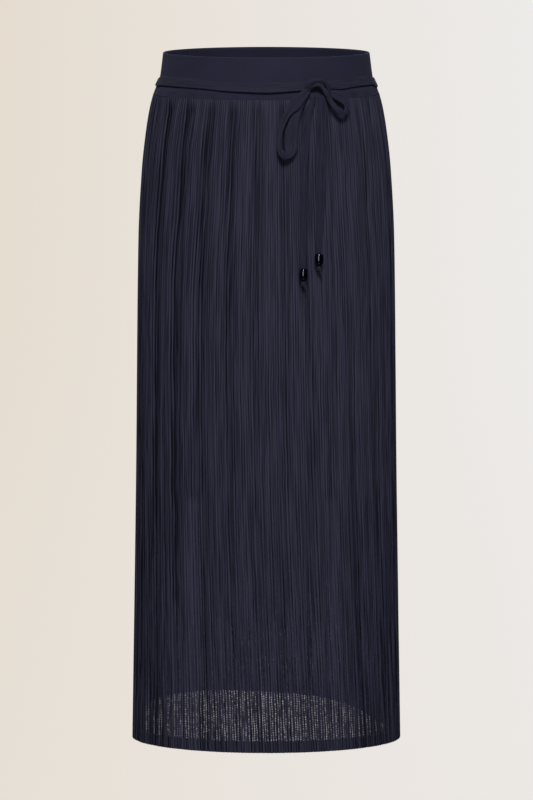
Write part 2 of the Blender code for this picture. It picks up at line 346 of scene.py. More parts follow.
@dataclass(frozen=True)
class Jersey(Finish):
    """Single jersey: a fine viscose knit, brushed by wear to a soft dull face.

    Its loops stand in columns a little under a millimetre apart. They are too fine
    to show from the front, so they are only a faint relief with painted shade in
    their hollows, and the eye gets an even navy with a weak bloom where the cloth turns away.
    """

    colour: str = "#27273D"
    # the dark end of the random mottle, and the colour of the painted shade in the knit's hollows and ripples
    hollow: str = "#1B1B2B"
    bloom: str = "#8C8CB0"
    wale: float = 0.00095
    course: float = 0.00075
    relief: float = 0.00012
    mottle: float = 0.030
    mottle_reach: tuple[float, float] = (0.30, 0.70)  # the noise's values that it swings between
    mottle_shade: float = 0.25  # shares of the hollow tone
    # painted shade in the hollows between the knit's loops
    hollow_shade: float = 0.5
    ripple: float = 0.0  # the same, as painted shade in the hollows of the ripples that run along a pulled tube, and painted light on their crests
    ripple_width: float = 0.0013
    ripple_length: float = 0.030
    ripple_reach: tuple[float, float] = (0.32, 0.68)
    roughness: float = 0.86

    def surface(self, add: AddNode) -> Node:
        """The knit's loops with painted shade in their hollows, its mottle, painted shade along any ripples,
        and its bloom.

        Args:
            add: Adds a node to the material.

        Returns:
            The shader.
        """
        cloth = add(SEPARATE, add("ShaderNodeUVMap", uv_map="cloth"))
        column = add(MATH, cloth.outputs[0], self.wale, operation="DIVIDE")
        row = add(MATH, cloth.outputs[1], self.course, operation="DIVIDE")
        rib = add(MATH, column, 0.5, operation="PINGPONG")
        leg = add(MATH, row, rib, operation="ADD")
        loop = add(MATH, leg, 0.5, operation="PINGPONG")
        height = add(MATH, rib, loop, operation="ADD")
        metres = add(COORDINATES).outputs["Object"]
        mottle = add(NOISE, metres, named={"Scale": 1 / self.mottle, "Detail": 3.0})
        tone = add(RANGE, mottle, *self.mottle_reach, self.mottle_shade, 0.0)
        # painted shade in the hollows between the loops
        depth = add(RANGE, height, 0.0, 1.0, self.hollow_shade, 0.0)
        share = add(MATH, tone, depth, operation="ADD")
        # painted shade in the ripples' hollows and painted light on their crests
        if self.ripple:
            share = add(MATH, self._ripples(add, cloth), self.ripple, share, operation="MULTIPLY_ADD")
        ends = {"A": linear(self.colour), "B": linear(self.hollow)}
        colour = add(MIX, named={"Factor": share, **ends}, **COLOURS).outputs["Result"]
        bump = add(BUMP, named={"Strength": 0.6, "Distance": self.relief, "Height": height})
        return add(PRINCIPLED, named={
            "Base Color": colour, "Roughness": self.roughness, "IOR": 1.46, "Specular IOR Level": 0.3,
            "Sheen Weight": 0.10, "Sheen Roughness": 0.5, "Sheen Tint": linear(self.bloom), "Normal": bump,
        })

    def _ripples(self, add: AddNode, cloth: Node) -> Node:
        """Painted shade and light of fine ripples that run along the cloth and fade in and out.

        Args:
            add: Adds a node to the material.
            cloth: The place on the cloth, across and along it.

        Returns:
            The ripples' painted shade, from -1 on their crests, which is painted light, to 1 in their
            hollows.
        """
        across = add(MATH, cloth.outputs[0], self.ripple_width, operation="DIVIDE")
        along = add(MATH, cloth.outputs[1], self.ripple_length, operation="DIVIDE")
        noise = add(NOISE, add(COMBINE, across, along), named={"Scale": 1.0, "Detail": 1.0}, **FLAT)
        return add(RANGE, noise, *self.ripple_reach, -1.0, 1.0)


@dataclass(frozen=True)
class Plisse(Finish):
    """Permanently pleated polyester knit: heat-set crepe with a sheer line down each crest.

    The valleys carry painted shade over the crests' colour, deepest where the pleats
    are packed and least where the cloth is thin, and fine streaks run down the wales.
    Along each crest the knit is open, in ladders of eyelets, so a single layer lets light
    through and two layers hardly any, and the yarns across its eyelets carry a painted
    glow. The turned-up hem is double and closed.
    """

    name: str = "Navy plisse polyester knit"
    crest: str = "#3B3A4D"
    # painted shade in the pleats' valleys, mixed over the crests' own colour
    valley: str = "#0A0A14"
    haze: str = "#807EAE"  # painted glow of the fine yarns that cross the eyelets, lit from behind
    bloom: str = "#8888B8"
    base_shade: float = 0.27
    double_shade: float = -0.02  # added where the hem is turned up
    valley_shade: float = 0.22
    packed_shade: float = 0.62
    packed_base: float = 0.17  # painted shade added all over where the pleats are packed
    thin_base: float = -0.26  # painted shade added where the cloth is thin; it is negative, so it paints light there
    wales_per_pleat: float = 2.8  # drawn coarser than they are, so that they show
    wale_length: float = 0.085
    wale_contrast: float = 0.34
    wale_apart: float = 7.31  # how far apart two wales' streaks are read, so that they differ
    wale_reach: tuple[float, float] = (0.36, 0.60)  # the noise's values that a wale fades between
    crinkle: float = 0.40  # how far the wales wander together, in pleats
    crinkle_length: float = 0.040
    crinkles_per_pleat: float = 0.15
    ladders_per_pleat: float = 1.35
    ladder_apart: float = 3.7  # how far apart two ladders' stretches are read
    sheer: float = 0.49  # how much light the openest eyelets let through
    between_eyelets: float = 0.25  # what is left of that between two eyelets
    least_eyelet: float = 0.15  # the smallest eyelet's share of it
    eyelet_pitch: float = 0.0031  # drawn coarser than it is, so that single eyelets show
    eyelet_edge: tuple[float, float] = (0.25, 0.75)  # where an eyelet's rim starts and ends
    eyelet_shift: float = 14.0  # half-pitches, the most that one ladder starts before another
    ladder_half_width: float = 0.24  # shares of a ladder's room
    ladder_wander: float = 0.34  # the same
    ladder_bend: float = 0.42
    ladder_length: float = 0.030
    ladder_reach: tuple[float, float] = (0.17, 0.54)  # the noise's values that a ladder opens between
    closed_below: float = 0.50  # above this the pleats lie closed, and the ladders with them
    open_below: float = 0.80
    grain: float = 0.0009
    roughness: float = 0.82

    def surface(self, add: AddNode) -> Node:
        """The cloth's painted shades, with light through its ladders and a painted glow on the yarns across
        them.

        Args:
            add: Adds a node to the material.

        Returns:
            The shader.
        """
        names = ("across", "below", "above_hem", "packed", "slack", "thin", "valley")
        at = {name: add("ShaderNodeAttribute", attribute_name=name).outputs["Fac"] for name in names}
        openness = self._openness(add, at)
        # painted glow where the ladders are open, over the cloth's painted shades
        ends = {"A": self._colour(add, at), "B": linear(self.haze)}
        fibres_and_painted_glow = add(MIX, named={"Factor": openness, **ends}, **COLOURS).outputs["Result"]
        # The shell's two faces are crossed one after the other, so each lets the root through.
        through = add(MATH, openness, operation="SQRT")
        closed = add(MATH, 1.0, through, operation="SUBTRACT")
        metres = add(COORDINATES).outputs["Object"]
        crepe = add(NOISE, metres, named={"Scale": 1 / self.grain, "Detail": 2.0})
        bump = add(BUMP, named={"Strength": 0.35, "Distance": 0.0001, "Height": crepe})
        return add(PRINCIPLED, named={
            "Base Color": fibres_and_painted_glow, "Roughness": self.roughness, "IOR": 1.5, "Specular IOR Level": 0.12,
            "Sheen Weight": 0.10, "Sheen Roughness": 0.45, "Sheen Tint": linear(self.bloom),
            "Alpha": closed, "Normal": bump,
        })

    def _wales(self, add: AddNode, at: dict[str, NodeSocket]) -> Node:
        """Light and dark wales side by side, each standing out for a stretch and fading.

        Args:
            add: Adds a node to the material.
            at: The panel's attributes.

        Returns:
            The tone, from -wale_contrast to wale_contrast.
        """
        wide = add(MATH, at["across"], self.crinkles_per_pleat, operation="MULTIPLY")
        long = add(MATH, at["below"], self.crinkle_length, operation="DIVIDE")
        crinkle = add(NOISE, add(COMBINE, wide, long), named={"Scale": 1.0, "Detail": 1.0}, **FLAT)
        bent = add(MATH, crinkle, self.crinkle, at["across"], operation="MULTIPLY_ADD")
        wale = add(MATH, bent, self.wales_per_pleat, operation="MULTIPLY")
        wale = add(MATH, wale, operation="FLOOR")
        even = add(MATH, wale, 2.0, operation="FLOORED_MODULO")
        sign = add(MATH, even, 2.0, -1.0, operation="MULTIPLY_ADD")
        apart = add(MATH, wale, self.wale_apart, operation="MULTIPLY")
        down = add(MATH, at["below"], self.wale_length, operation="DIVIDE")
        noise = add(NOISE, add(COMBINE, apart, down), named={"Scale": 1.0, "Detail": 0.0}, **FLAT)
        strength = add(RANGE, noise, *self.wale_reach, 0.0, self.wale_contrast)
        return add(MATH, strength, sign, operation="MULTIPLY")

    def _colour(self, add: AddNode, at: dict[str, NodeSocket]) -> NodeSocket:
        """Painted shade in the valleys against the crests, most where the pleats are packed and least where
        the cloth is thin, broken by the wales.

        Args:
            add: Adds a node to the material.
            at: The panel's attributes.

        Returns:
            The colour.
        """
        # painted shade in the valleys, more where the pleats are packed
        shade = add(RANGE, at["packed"], 0.0, 1.0, self.valley_shade, self.packed_shade)
        double = add(MATH, at["above_hem"], HEM_DEPTH, operation="LESS_THAN")
        base = self.base_shade
        # the hem's tone, painted shade where the pleats are packed and painted light where the cloth is thin
        shares = (double, at["packed"], at["thin"])
        for share, weight in zip(shares, (self.double_shade, self.packed_base, self.thin_base)):
            base = add(MATH, share, weight, base, operation="MULTIPLY_ADD")
        tone = add(MATH, self._wales(add, at), base, operation="ADD")
        depth = add(MATH, at["valley"], shade, tone, operation="MULTIPLY_ADD")
        ends = {"A": linear(self.crest), "B": linear(self.valley)}
        return add(MIX, named={"Factor": depth, **ends}, **COLOURS).outputs["Result"]

    def _openness(self, add: AddNode, at: dict[str, NodeSocket]) -> Node:
        """Ladders of eyelets that run down the crests of the closed cloth.

        Args:
            add: Adds a node to the material.
            at: The panel's attributes.

        Returns:
            The share of the light that comes through: 0 where the knit is closed.
        """
        beside = add(MATH, at["across"], self.ladders_per_pleat, operation="MULTIPLY")
        ladder = add(MATH, beside, operation="FLOOR")
        phase = add(MATH, beside, operation="FRACT")
        chance = add(WHITE_NOISE, named={"W": ladder}, noise_dimensions="1D").outputs["Value"]
        wander = self.ladder_wander / 2
        middle = add(RANGE, chance, 0.0, 1.0, 0.5 - wander, 0.5 + wander)
        apart = add(MATH, ladder, self.ladder_apart, operation="MULTIPLY")
        down = add(MATH, at["below"], self.ladder_length, operation="DIVIDE")
        patch = add(NOISE, add(COMBINE, apart, down), named={"Scale": 1.0, "Detail": 1.0}, **FLAT)
        bend = add(RANGE, patch.outputs["Color"], 0.0, 1.0, -self.ladder_bend, self.ladder_bend, clamp=False)
        middle = add(MATH, middle, bend, operation="ADD")
        away = add(MATH, phase, middle, operation="SUBTRACT")
        away = add(MATH, away, operation="ABSOLUTE")
        rails = add(RANGE, away, 0.0, self.ladder_half_width, 1.0, 0.0, **SMOOTH)
        start = add(MATH, chance, self.eyelet_shift, operation="MULTIPLY")
        rung = add(MATH, at["below"], 2 / self.eyelet_pitch, start, operation="MULTIPLY_ADD")
        number = add(MATH, rung, 0.5, operation="MULTIPLY")
        number = add(MATH, number, operation="FLOOR")
        size = add(WHITE_NOISE, add(COMBINE, ladder, number), **FLAT).outputs["Value"]
        size = add(RANGE, size, 0.0, 1.0, self.least_eyelet, 1.0)
        rung = add(MATH, rung, 1.0, operation="PINGPONG")
        eyelet = add(RANGE, rung, *self.eyelet_edge, self.between_eyelets, 1.0, **SMOOTH)
        patch = add(RANGE, patch, *self.ladder_reach, 0.0, 1.0, **SMOOTH)
        single = add(MATH, at["above_hem"], HEM_DEPTH, operation="GREATER_THAN")
        spread = add(RANGE, at["below"], self.closed_below, self.open_below, 0.0, 1.0, **SMOOTH)
        spread = add(MATH, spread, at["thin"], operation="MAXIMUM")
        share = add(MATH, rails, self.sheer, operation="MULTIPLY")
        for factor in (eyelet, size, patch, single, spread, at["slack"]):
            share = add(MATH, share, factor, operation="MULTIPLY")
        return share


@dataclass(frozen=True)
class MouldedPlastic(Finish):
    """Injection-moulded polycarbonate, tumbled to a gloss: deep black with hard highlights."""

    name: str = "Black moulded polycarbonate"
    colour: str = "#05050E"
    glint: str = "#E4E8FF"
    roughness: float = 0.07
    unevenness: tuple[float, float] = (0.6, 1.5)  # of the roughness, on and between the waves
    ripple: float = 0.004  # spacing of the faint waves left by tumbling

    def surface(self, add: AddNode) -> Node:
        """The gloss, a little uneven.

        Args:
            add: Adds a node to the material.

        Returns:
            The shader.
        """
        metres = add(COORDINATES).outputs["Object"]
        waves = add(NOISE, metres, named={"Scale": 1 / self.ripple, "Detail": 1.0})
        gloss = add(RANGE, waves, 0.0, 1.0, *(self.roughness * share for share in self.unevenness))
        bump = add(BUMP, named={"Strength": 0.15, "Distance": 0.0001, "Height": waves})
        return add(PRINCIPLED, named={
            "Base Color": linear(self.colour), "Roughness": gloss, "IOR": 1.586, "Specular IOR Level": 1.0,
            "Specular Tint": linear(self.glint), "Normal": bump,
        })


@dataclass(frozen=True)
class Thread(Finish):
    """Spun polyester sewing thread, twisted, with a slight lustre along the twist."""

    name: str = "Navy spun polyester thread"
    colour: str = "#303046"
    twist: float = 0.0006  # coarser than the real twist, so that it shows up close

    def surface(self, add: AddNode) -> Node:
        """The twist and its lustre.

        Args:
            add: Adds a node to the material.

        Returns:
            The shader.
        """
        metres = add(COORDINATES).outputs["Object"]
        twist = {"Scale": 1 / self.twist, "Distortion": 1.0}
        strand = add("ShaderNodeTexWave", metres, named=twist, bands_direction="DIAGONAL").outputs["Fac"]
        bump = add(BUMP, named={"Strength": 0.3, "Distance": 0.00005, "Height": strand})
        return add(PRINCIPLED, named={
            "Base Color": linear(self.colour), "Roughness": 0.6, "Sheen Weight": 0.1, "Normal": bump,
        })


@dataclass(frozen=True)
class Paper(Finish):
    """Backdrop paper, lit evenly: warm on the left and neutral on the right."""

    name: str = "Backdrop paper"
    left: str = "#E5DCCF"
    middle: str = "#EAE4DE"
    right: str = "#EDEBE9"
    reach: float = 0.87  # the outer colours are reached this far from the middle

    def surface(self, add: AddNode) -> Node:
        """An even glow.

        Args:
            add: Adds a node to the material.

        Returns:
            The emission.
        """
        side = add(SEPARATE, add(COORDINATES).outputs["Object"])
        ramp = add("ShaderNodeValToRGB", add(RANGE, side, -self.reach, self.reach, 0.0, 1.0))
        stops = ramp.color_ramp.elements
        stops[0].color = linear(self.left)
        stops[1].color = linear(self.right)
        stops.new(0.5).color = linear(self.middle)
        return add("ShaderNodeEmission", ramp)


# ---- the skirt's form --------------------------------------------------------
@dataclass(frozen=True)
class Section:
    """The cloth's outline at one height: an ellipse at its outer face."""

    z: float
    half_width: float
    half_depth: float


WAISTBAND_SECTIONS = rows_of(
    Section,
    (0.0240, 0.1342, 0.0968), (0.0110, 0.1358, 0.0980), (-0.0050, 0.1380, 0.0990),
    (-0.0122, 0.1401, 0.0998), (-0.0178, 0.1430, 0.1017), (-0.0215, 0.1444, 0.1025),
    (-0.0275, 0.1467, 0.1030),
)
SKIRT_SECTIONS = rows_of(
    Section,
    (-0.0278, 0.1469, 0.1031), (-0.0435, 0.1510, 0.1064), (-0.0747, 0.1563, 0.1100),
    (-0.1269, 0.1620, 0.1150), (-0.2183, 0.1666, 0.1190), (-0.5334, 0.1704, 0.1240),
    (-0.8731, 0.1759, 0.1285),
)
HIP = SKIRT_SECTIONS[4]  # the pleats are spaced evenly round this section
HIP_STEPS = 4000  # for the length of its outline


@dataclass(frozen=True)
class Form:
    """An upright oval tube of cloth, given by its sections."""

    sections: tuple[Section, ...]

    def half_sizes(self, z: np.ndarray) -> tuple[np.ndarray, np.ndarray]:
        """The oval's half-width and half-depth at each height."""
        return read_off(self.sections, "half_width", z), read_off(self.sections, "half_depth", z)

    def points(self, angle: np.ndarray, z: np.ndarray, outward: np.ndarray | float = 0.0) -> np.ndarray:
        """Points on the cloth, moved out along the oval's normal.

        Args:
            angle: The angle round from the front centre.
            z: The height.
            outward: How far out of the cloth, or into it if negative.

        Returns:
            The points, with their coordinates on the last axis.
        """
        angle, z = np.broadcast_arrays(angle, z)
        width, depth = self.half_sizes(z)
        across, away = np.sin(angle) / width, -np.cos(angle) / depth
        length = np.hypot(across, away)
        x = width * np.sin(angle) + outward * across / length
        y = -depth * np.cos(angle) + outward * away / length
        return np.stack([x, y, z], axis=-1)

    def on_front(self, x: np.ndarray, z: np.ndarray, lift: np.ndarray) -> np.ndarray:
        """Points in front of the cloth.

        Args:
            x: How far right of the middle.
            z: The height.
            lift: How far clear of the cloth.

        Returns:
            The points, with their coordinates on the last axis.
        """
        width, depth = self.half_sizes(z)
        across = x / (width + lift)
        return np.stack([x, -(depth + lift) * np.sqrt(1.0 - across * across), z], axis=-1)

    def front_normals(self, x: np.ndarray, z: np.ndarray) -> np.ndarray:
        """The cloth's outward direction at each x and z on the front.

        Args:
            x: How far right of the middle.
            z: The height.

        Returns:
            The unit directions.
        """
        width, depth = self.half_sizes(z)
        across = x / width
        normal = np.stack([across / width, -np.sqrt(1.0 - across * across) / depth, 0.0 * z], axis=-1)
        return normal / np.linalg.norm(normal, axis=-1, keepdims=True)


WAISTBAND_FORM = Form(WAISTBAND_SECTIONS)
SKIRT_FORM = Form(SKIRT_SECTIONS)
WHOLE_FORM = Form(WAISTBAND_SECTIONS + SKIRT_SECTIONS)


def even_angles(side: Side, count: int) -> np.ndarray:
    """count + 1 angles across a half, evenly spaced along the cloth at the hip.

    Args:
        side: The half.
        count: How many equal steps.

    Returns:
        The angles. Both ends run on a hair, so the side seams are closed.
    """
    lap = SEAM_LAP / WAISTBAND_SECTIONS[0].half_depth
    edges = np.linspace(side.start - lap, side.end + lap, HIP_STEPS + 1)
    middle = (edges[1:] + edges[:-1]) / 2
    run = np.hypot(HIP.half_width * np.cos(middle), HIP.half_depth * np.sin(middle))
    length = np.concatenate([[0.0], np.cumsum(run)])
    return np.interp(np.linspace(0.0, length[-1], count + 1), length, edges)


# ---- the folds, and how the pleats hang ---------------------------------------
@dataclass(frozen=True)
class Fold:
    """A soft groove that falls from the waistband to the hem.

    Its place is an angle in degrees at the waist, half-way down and at the hem, and
    its depth is given at the waist and at the hem.
    """

    waist: float
    middle: float
    hem: float
    depth: float
    depth_at_hem: float
    width: float = 2.4

    def depth_at(self, degrees: np.ndarray, drop: np.ndarray) -> np.ndarray:
        """How deep the groove is.

        Args:
            degrees: The angle of each point.
            drop: The share of the way down from the waist to the hem.

        Returns:
            The depth at each point, in metres.
        """
        bow = self.middle - (self.waist + self.hem) / 2
        centre = self.waist + (self.hem - self.waist) * drop + 4.0 * bow * drop * (1.0 - drop)
        away = (degrees - centre) / self.width
        return (self.depth + (self.depth_at_hem - self.depth) * drop) * np.exp(-away * away)


@dataclass(frozen=True)
class Packing:
    """How tight the pleats stand at one angle, from 0 to 1, which deepens them and their painted shade."""

    angle_deg: float
    at_waist: float
    at_hem: float


@dataclass(frozen=True)
class ThinPlace:
    """An upright strip, from some way down to the hem, whose ladders stand a little open and whose cloth is
    painted lighter.
    """

    angle_deg: float
    half_width_deg: float
    top: float  # below the waist seam
    share: float  # of how far they open near the hem

    def at(self, degrees: np.ndarray, below: np.ndarray) -> np.ndarray:
        """How far the ladders stand open at each point."""
        away = (degrees - self.angle_deg) / self.half_width_deg
        return self.share * np.exp(-away ** 4) * (below > self.top)


@dataclass(frozen=True)
class Gather:
    """The share of the folds' depth that the waist seam takes at one angle."""

    angle_deg: float
    share: float


@dataclass(frozen=True)
class HemPoint:
    """How far the back panel's hem rides above the front's at one angle."""

    angle_deg: float
    rise: float


@dataclass(frozen=True)
class Lean:
    """How far the pleats have moved round the waist's axis at one height."""

    drop: float  # share of the way down from the waist to the hem
    turn_deg: float  # all of them together, towards the right in front
    spread_deg: float  # away from the panel's middle, most half-way to its seams


FOLDS = {
    Side.FRONT: rows_of(
        Fold,
        (-79.0, -79.0, -79.0, 0.0030, 0.0030), (-70.0, -73.0, -73.0, 0.0038, 0.0036, 2.8),
        (-57.0, -60.0, -57.5, 0.0074, 0.0050, 3.7), (-41.0, -45.8, -40.0, 0.0078, 0.0042, 3.4),
        (-29.0, -31.5, -27.5, 0.0070, 0.0034, 3.2), (-16.6, -16.8, -14.0, 0.0062, 0.0026, 2.9),
        (-4.6, -4.6, -2.0, 0.0054, 0.0024, 2.8), (8.2, 8.2, 9.0, 0.0040, 0.0034, 2.4),
        (19.0, 20.5, 20.5, 0.0036, 0.0036, 2.0), (33.0, 31.0, 28.0, 0.0022, 0.0032, 2.2),
        (38.5, 42.0, 48.0, 0.0014, 0.0038, 2.4), (51.5, 57.5, 61.0, 0.0048, 0.0038, 2.8),
        (64.0, 67.0, 69.0, 0.0046, 0.0032, 2.6), (77.5, 78.0, 79.0, 0.0034, 0.0034),
    ),
    Side.BACK: rows_of(
        Fold,
        (101.0, 102.5, 103.0, 0.0034, 0.0044), (113.5, 112.0, 115.0, 0.0056, 0.0040, 2.2),
        (127.0, 129.0, 126.0, 0.0036, 0.0046, 2.6), (138.5, 137.0, 139.5, 0.0066, 0.0050, 2.4),
        (151.0, 152.5, 150.0, 0.0040, 0.0046, 2.0), (162.5, 161.0, 164.0, 0.0062, 0.0042, 2.4),
        (175.5, 177.0, 175.0, 0.0040, 0.0050, 2.2), (187.0, 185.5, 188.0, 0.0058, 0.0044, 2.4),
        (199.5, 201.0, 199.0, 0.0040, 0.0050, 2.0), (211.0, 209.0, 212.0, 0.0070, 0.0048, 2.6),
        (224.5, 226.0, 224.0, 0.0046, 0.0050, 2.2), (236.0, 234.5, 237.5, 0.0060, 0.0044, 2.4),
        (248.5, 250.0, 248.0, 0.0042, 0.0048, 2.2), (260.0, 259.0, 260.0, 0.0034, 0.0032),
    ),
}
PACKING = {
    Side.FRONT: rows_of(
        Packing,
        (-90.0, 0.40, 0.95), (-60.0, 0.31, 0.76), (-25.0, 0.08, 0.42), (0.0, 0.00, 0.38),
        (28.0, 0.00, 0.42), (60.0, 0.04, 0.84), (90.0, 0.20, 0.90),
    ),
    Side.BACK: rows_of(
        Packing,
        (90.0, 0.20, 0.50), (135.0, 0.05, 0.12), (180.0, 0.10, 0.10), (225.0, 0.05, 0.12),
        (270.0, 0.28, 0.55),
    ),
}
THIN_PLACES = {
    Side.FRONT: rows_of(
        ThinPlace, (-43.0, 2.4, 0.66, 0.85), (-34.0, 4.4, 0.515, 1.00), (29.5, 4.0, 0.515, 0.75)
    ),
    Side.BACK: (),
}
SEAM_GATHER = rows_of(
    Gather, (-90.0, 0.16), (36.0, 0.16), (52.0, 0.42), (80.0, 0.42), (90.0, 0.16), (270.0, 0.16)
)
GATHER_TOP = -0.0190  # the waistband is smooth above this
HEM_RISE = rows_of(
    HemPoint,
    (90.0, 0.0000), (104.0, 0.0012), (118.0, 0.0070), (131.0, 0.0170), (143.0, 0.0270), (160.0, 0.0345),
    (180.0, 0.0385), (210.0, 0.0425), (232.0, 0.0405), (247.0, 0.0320), (259.0, 0.0170), (270.0, 0.0000),
)
PLEAT_LEAN = rows_of(
    Lean,
    (0.00, 0.0, -2.4), (0.14, -0.6, -2.2), (0.29, -0.9, -0.3), (0.40, -0.8, 0.0), (0.52, -0.3, 0.0),
    (0.64, 0.5, 0.0), (0.76, 1.7, 0.0), (0.88, 3.2, 0.0), (1.00, 4.6, 0.0),
)
LEAN_EASE_DEG = 30.0  # the side seams hang straight, and the pleats lean fully this far from them


def gathers(side: Side, angles: np.ndarray, drop: np.ndarray | float = 0.0) -> np.ndarray:
    """How deep a half's folds are at each angle, at a share of the way down."""
    return sum(fold.depth_at(np.degrees(angles), drop) for fold in FOLDS[side])


def seam_gather(angles: np.ndarray) -> np.ndarray:
    """The share of the folds' depth that the waist seam takes at each angle."""
    return read_off(SEAM_GATHER, "share", np.degrees(angles))


def leaning(side: Side, angles: np.ndarray, drop: np.ndarray) -> np.ndarray:
    """The angles that a half's pleats have reached at a share of the way down.

    Args:
        side: The half.
        angles: The pleats' angles where they hang evenly.
        drop: The share of the way down from the waist to the hem.

    Returns:
        The angles, which broadcast the two.
    """
    turn, spread = (np.radians(read_off(PLEAT_LEAN, column, drop)) for column in ("turn_deg", "spread_deg"))
    from_seam = np.minimum(angles - side.start, side.end - angles)
    held = eased(from_seam / math.radians(LEAN_EASE_DEG))
    from_middle = angles - (side.start + side.end) / 2
    return angles + turn * held + spread * np.sin(2.0 * from_middle)


# ---- node trees that make pieces ----------------------------------------------
class PieceTree:
    """A geometry node tree that makes a piece, with its sizes as named inputs."""

    NAME = "Piece"
    TAKES = "Start"
    GIVES = "Piece"
    SIZES: dict[str, float] = {}

    def __init__(self) -> None:
        """Builds the tree, which ends in one plain mesh with its finish."""
        self.tree = bpy.data.node_groups.new(self.NAME, "GeometryNodeTree")
        face = self.tree.interface
        face.new_socket(self.TAKES, in_out="INPUT", socket_type="NodeSocketGeometry")
        for name, value in self.SIZES.items():
            face.new_socket(name, in_out="INPUT", socket_type="NodeSocketFloat").default_value = value
        face.new_socket("Seed", in_out="INPUT", socket_type="NodeSocketInt").default_value = 1
        face.new_socket("Finish", in_out="INPUT", socket_type="NodeSocketMaterial")
        face.new_socket(self.GIVES, in_out="OUTPUT", socket_type="NodeSocketGeometry")
        add = partial(add_node, self.tree)
        given = add("NodeGroupInput").outputs
        real = add("GeometryNodeRealizeInstances", self._shape(add, given))
        dressed = add("GeometryNodeSetMaterial", real, named={"Material": given["Finish"]})
        add("NodeGroupOutput", dressed)

    def _shape(self, add: AddNode, given: bpy.types.bpy_prop_collection) -> Node:
        """Adds the nodes that make the shape, and gives the last of them."""
        raise NotImplementedError

    def through(self, start: Object, seed: int, finish: Material) -> Mesh:
        """Runs an object through the tree and gives the plain mesh.

        Args:
            start: The object that the tree starts from, which is removed.
            seed: What the tree's chances are drawn from.
            finish: The mesh's material.

        Returns:
            The evaluated mesh, which takes the object's name.
        """
        modifier = start.modifiers.new(self.NAME, "NODES")
        modifier.node_group = self.tree
        items = self.tree.interface.items_tree
        sockets = {item.name: item.identifier for item in items if item.in_out == "INPUT"}
        modifier[sockets["Seed"]] = seed
        modifier[sockets["Finish"]] = finish
        name, source = start.name, start.data
        bpy.context.view_layer.update()
        mesh = bpy.data.meshes.new_from_object(start.evaluated_get(bpy.context.evaluated_depsgraph_get()))
        bpy.data.objects.remove(start)
        bpy.data.meshes.remove(source)
        mesh.name = name
        return mesh


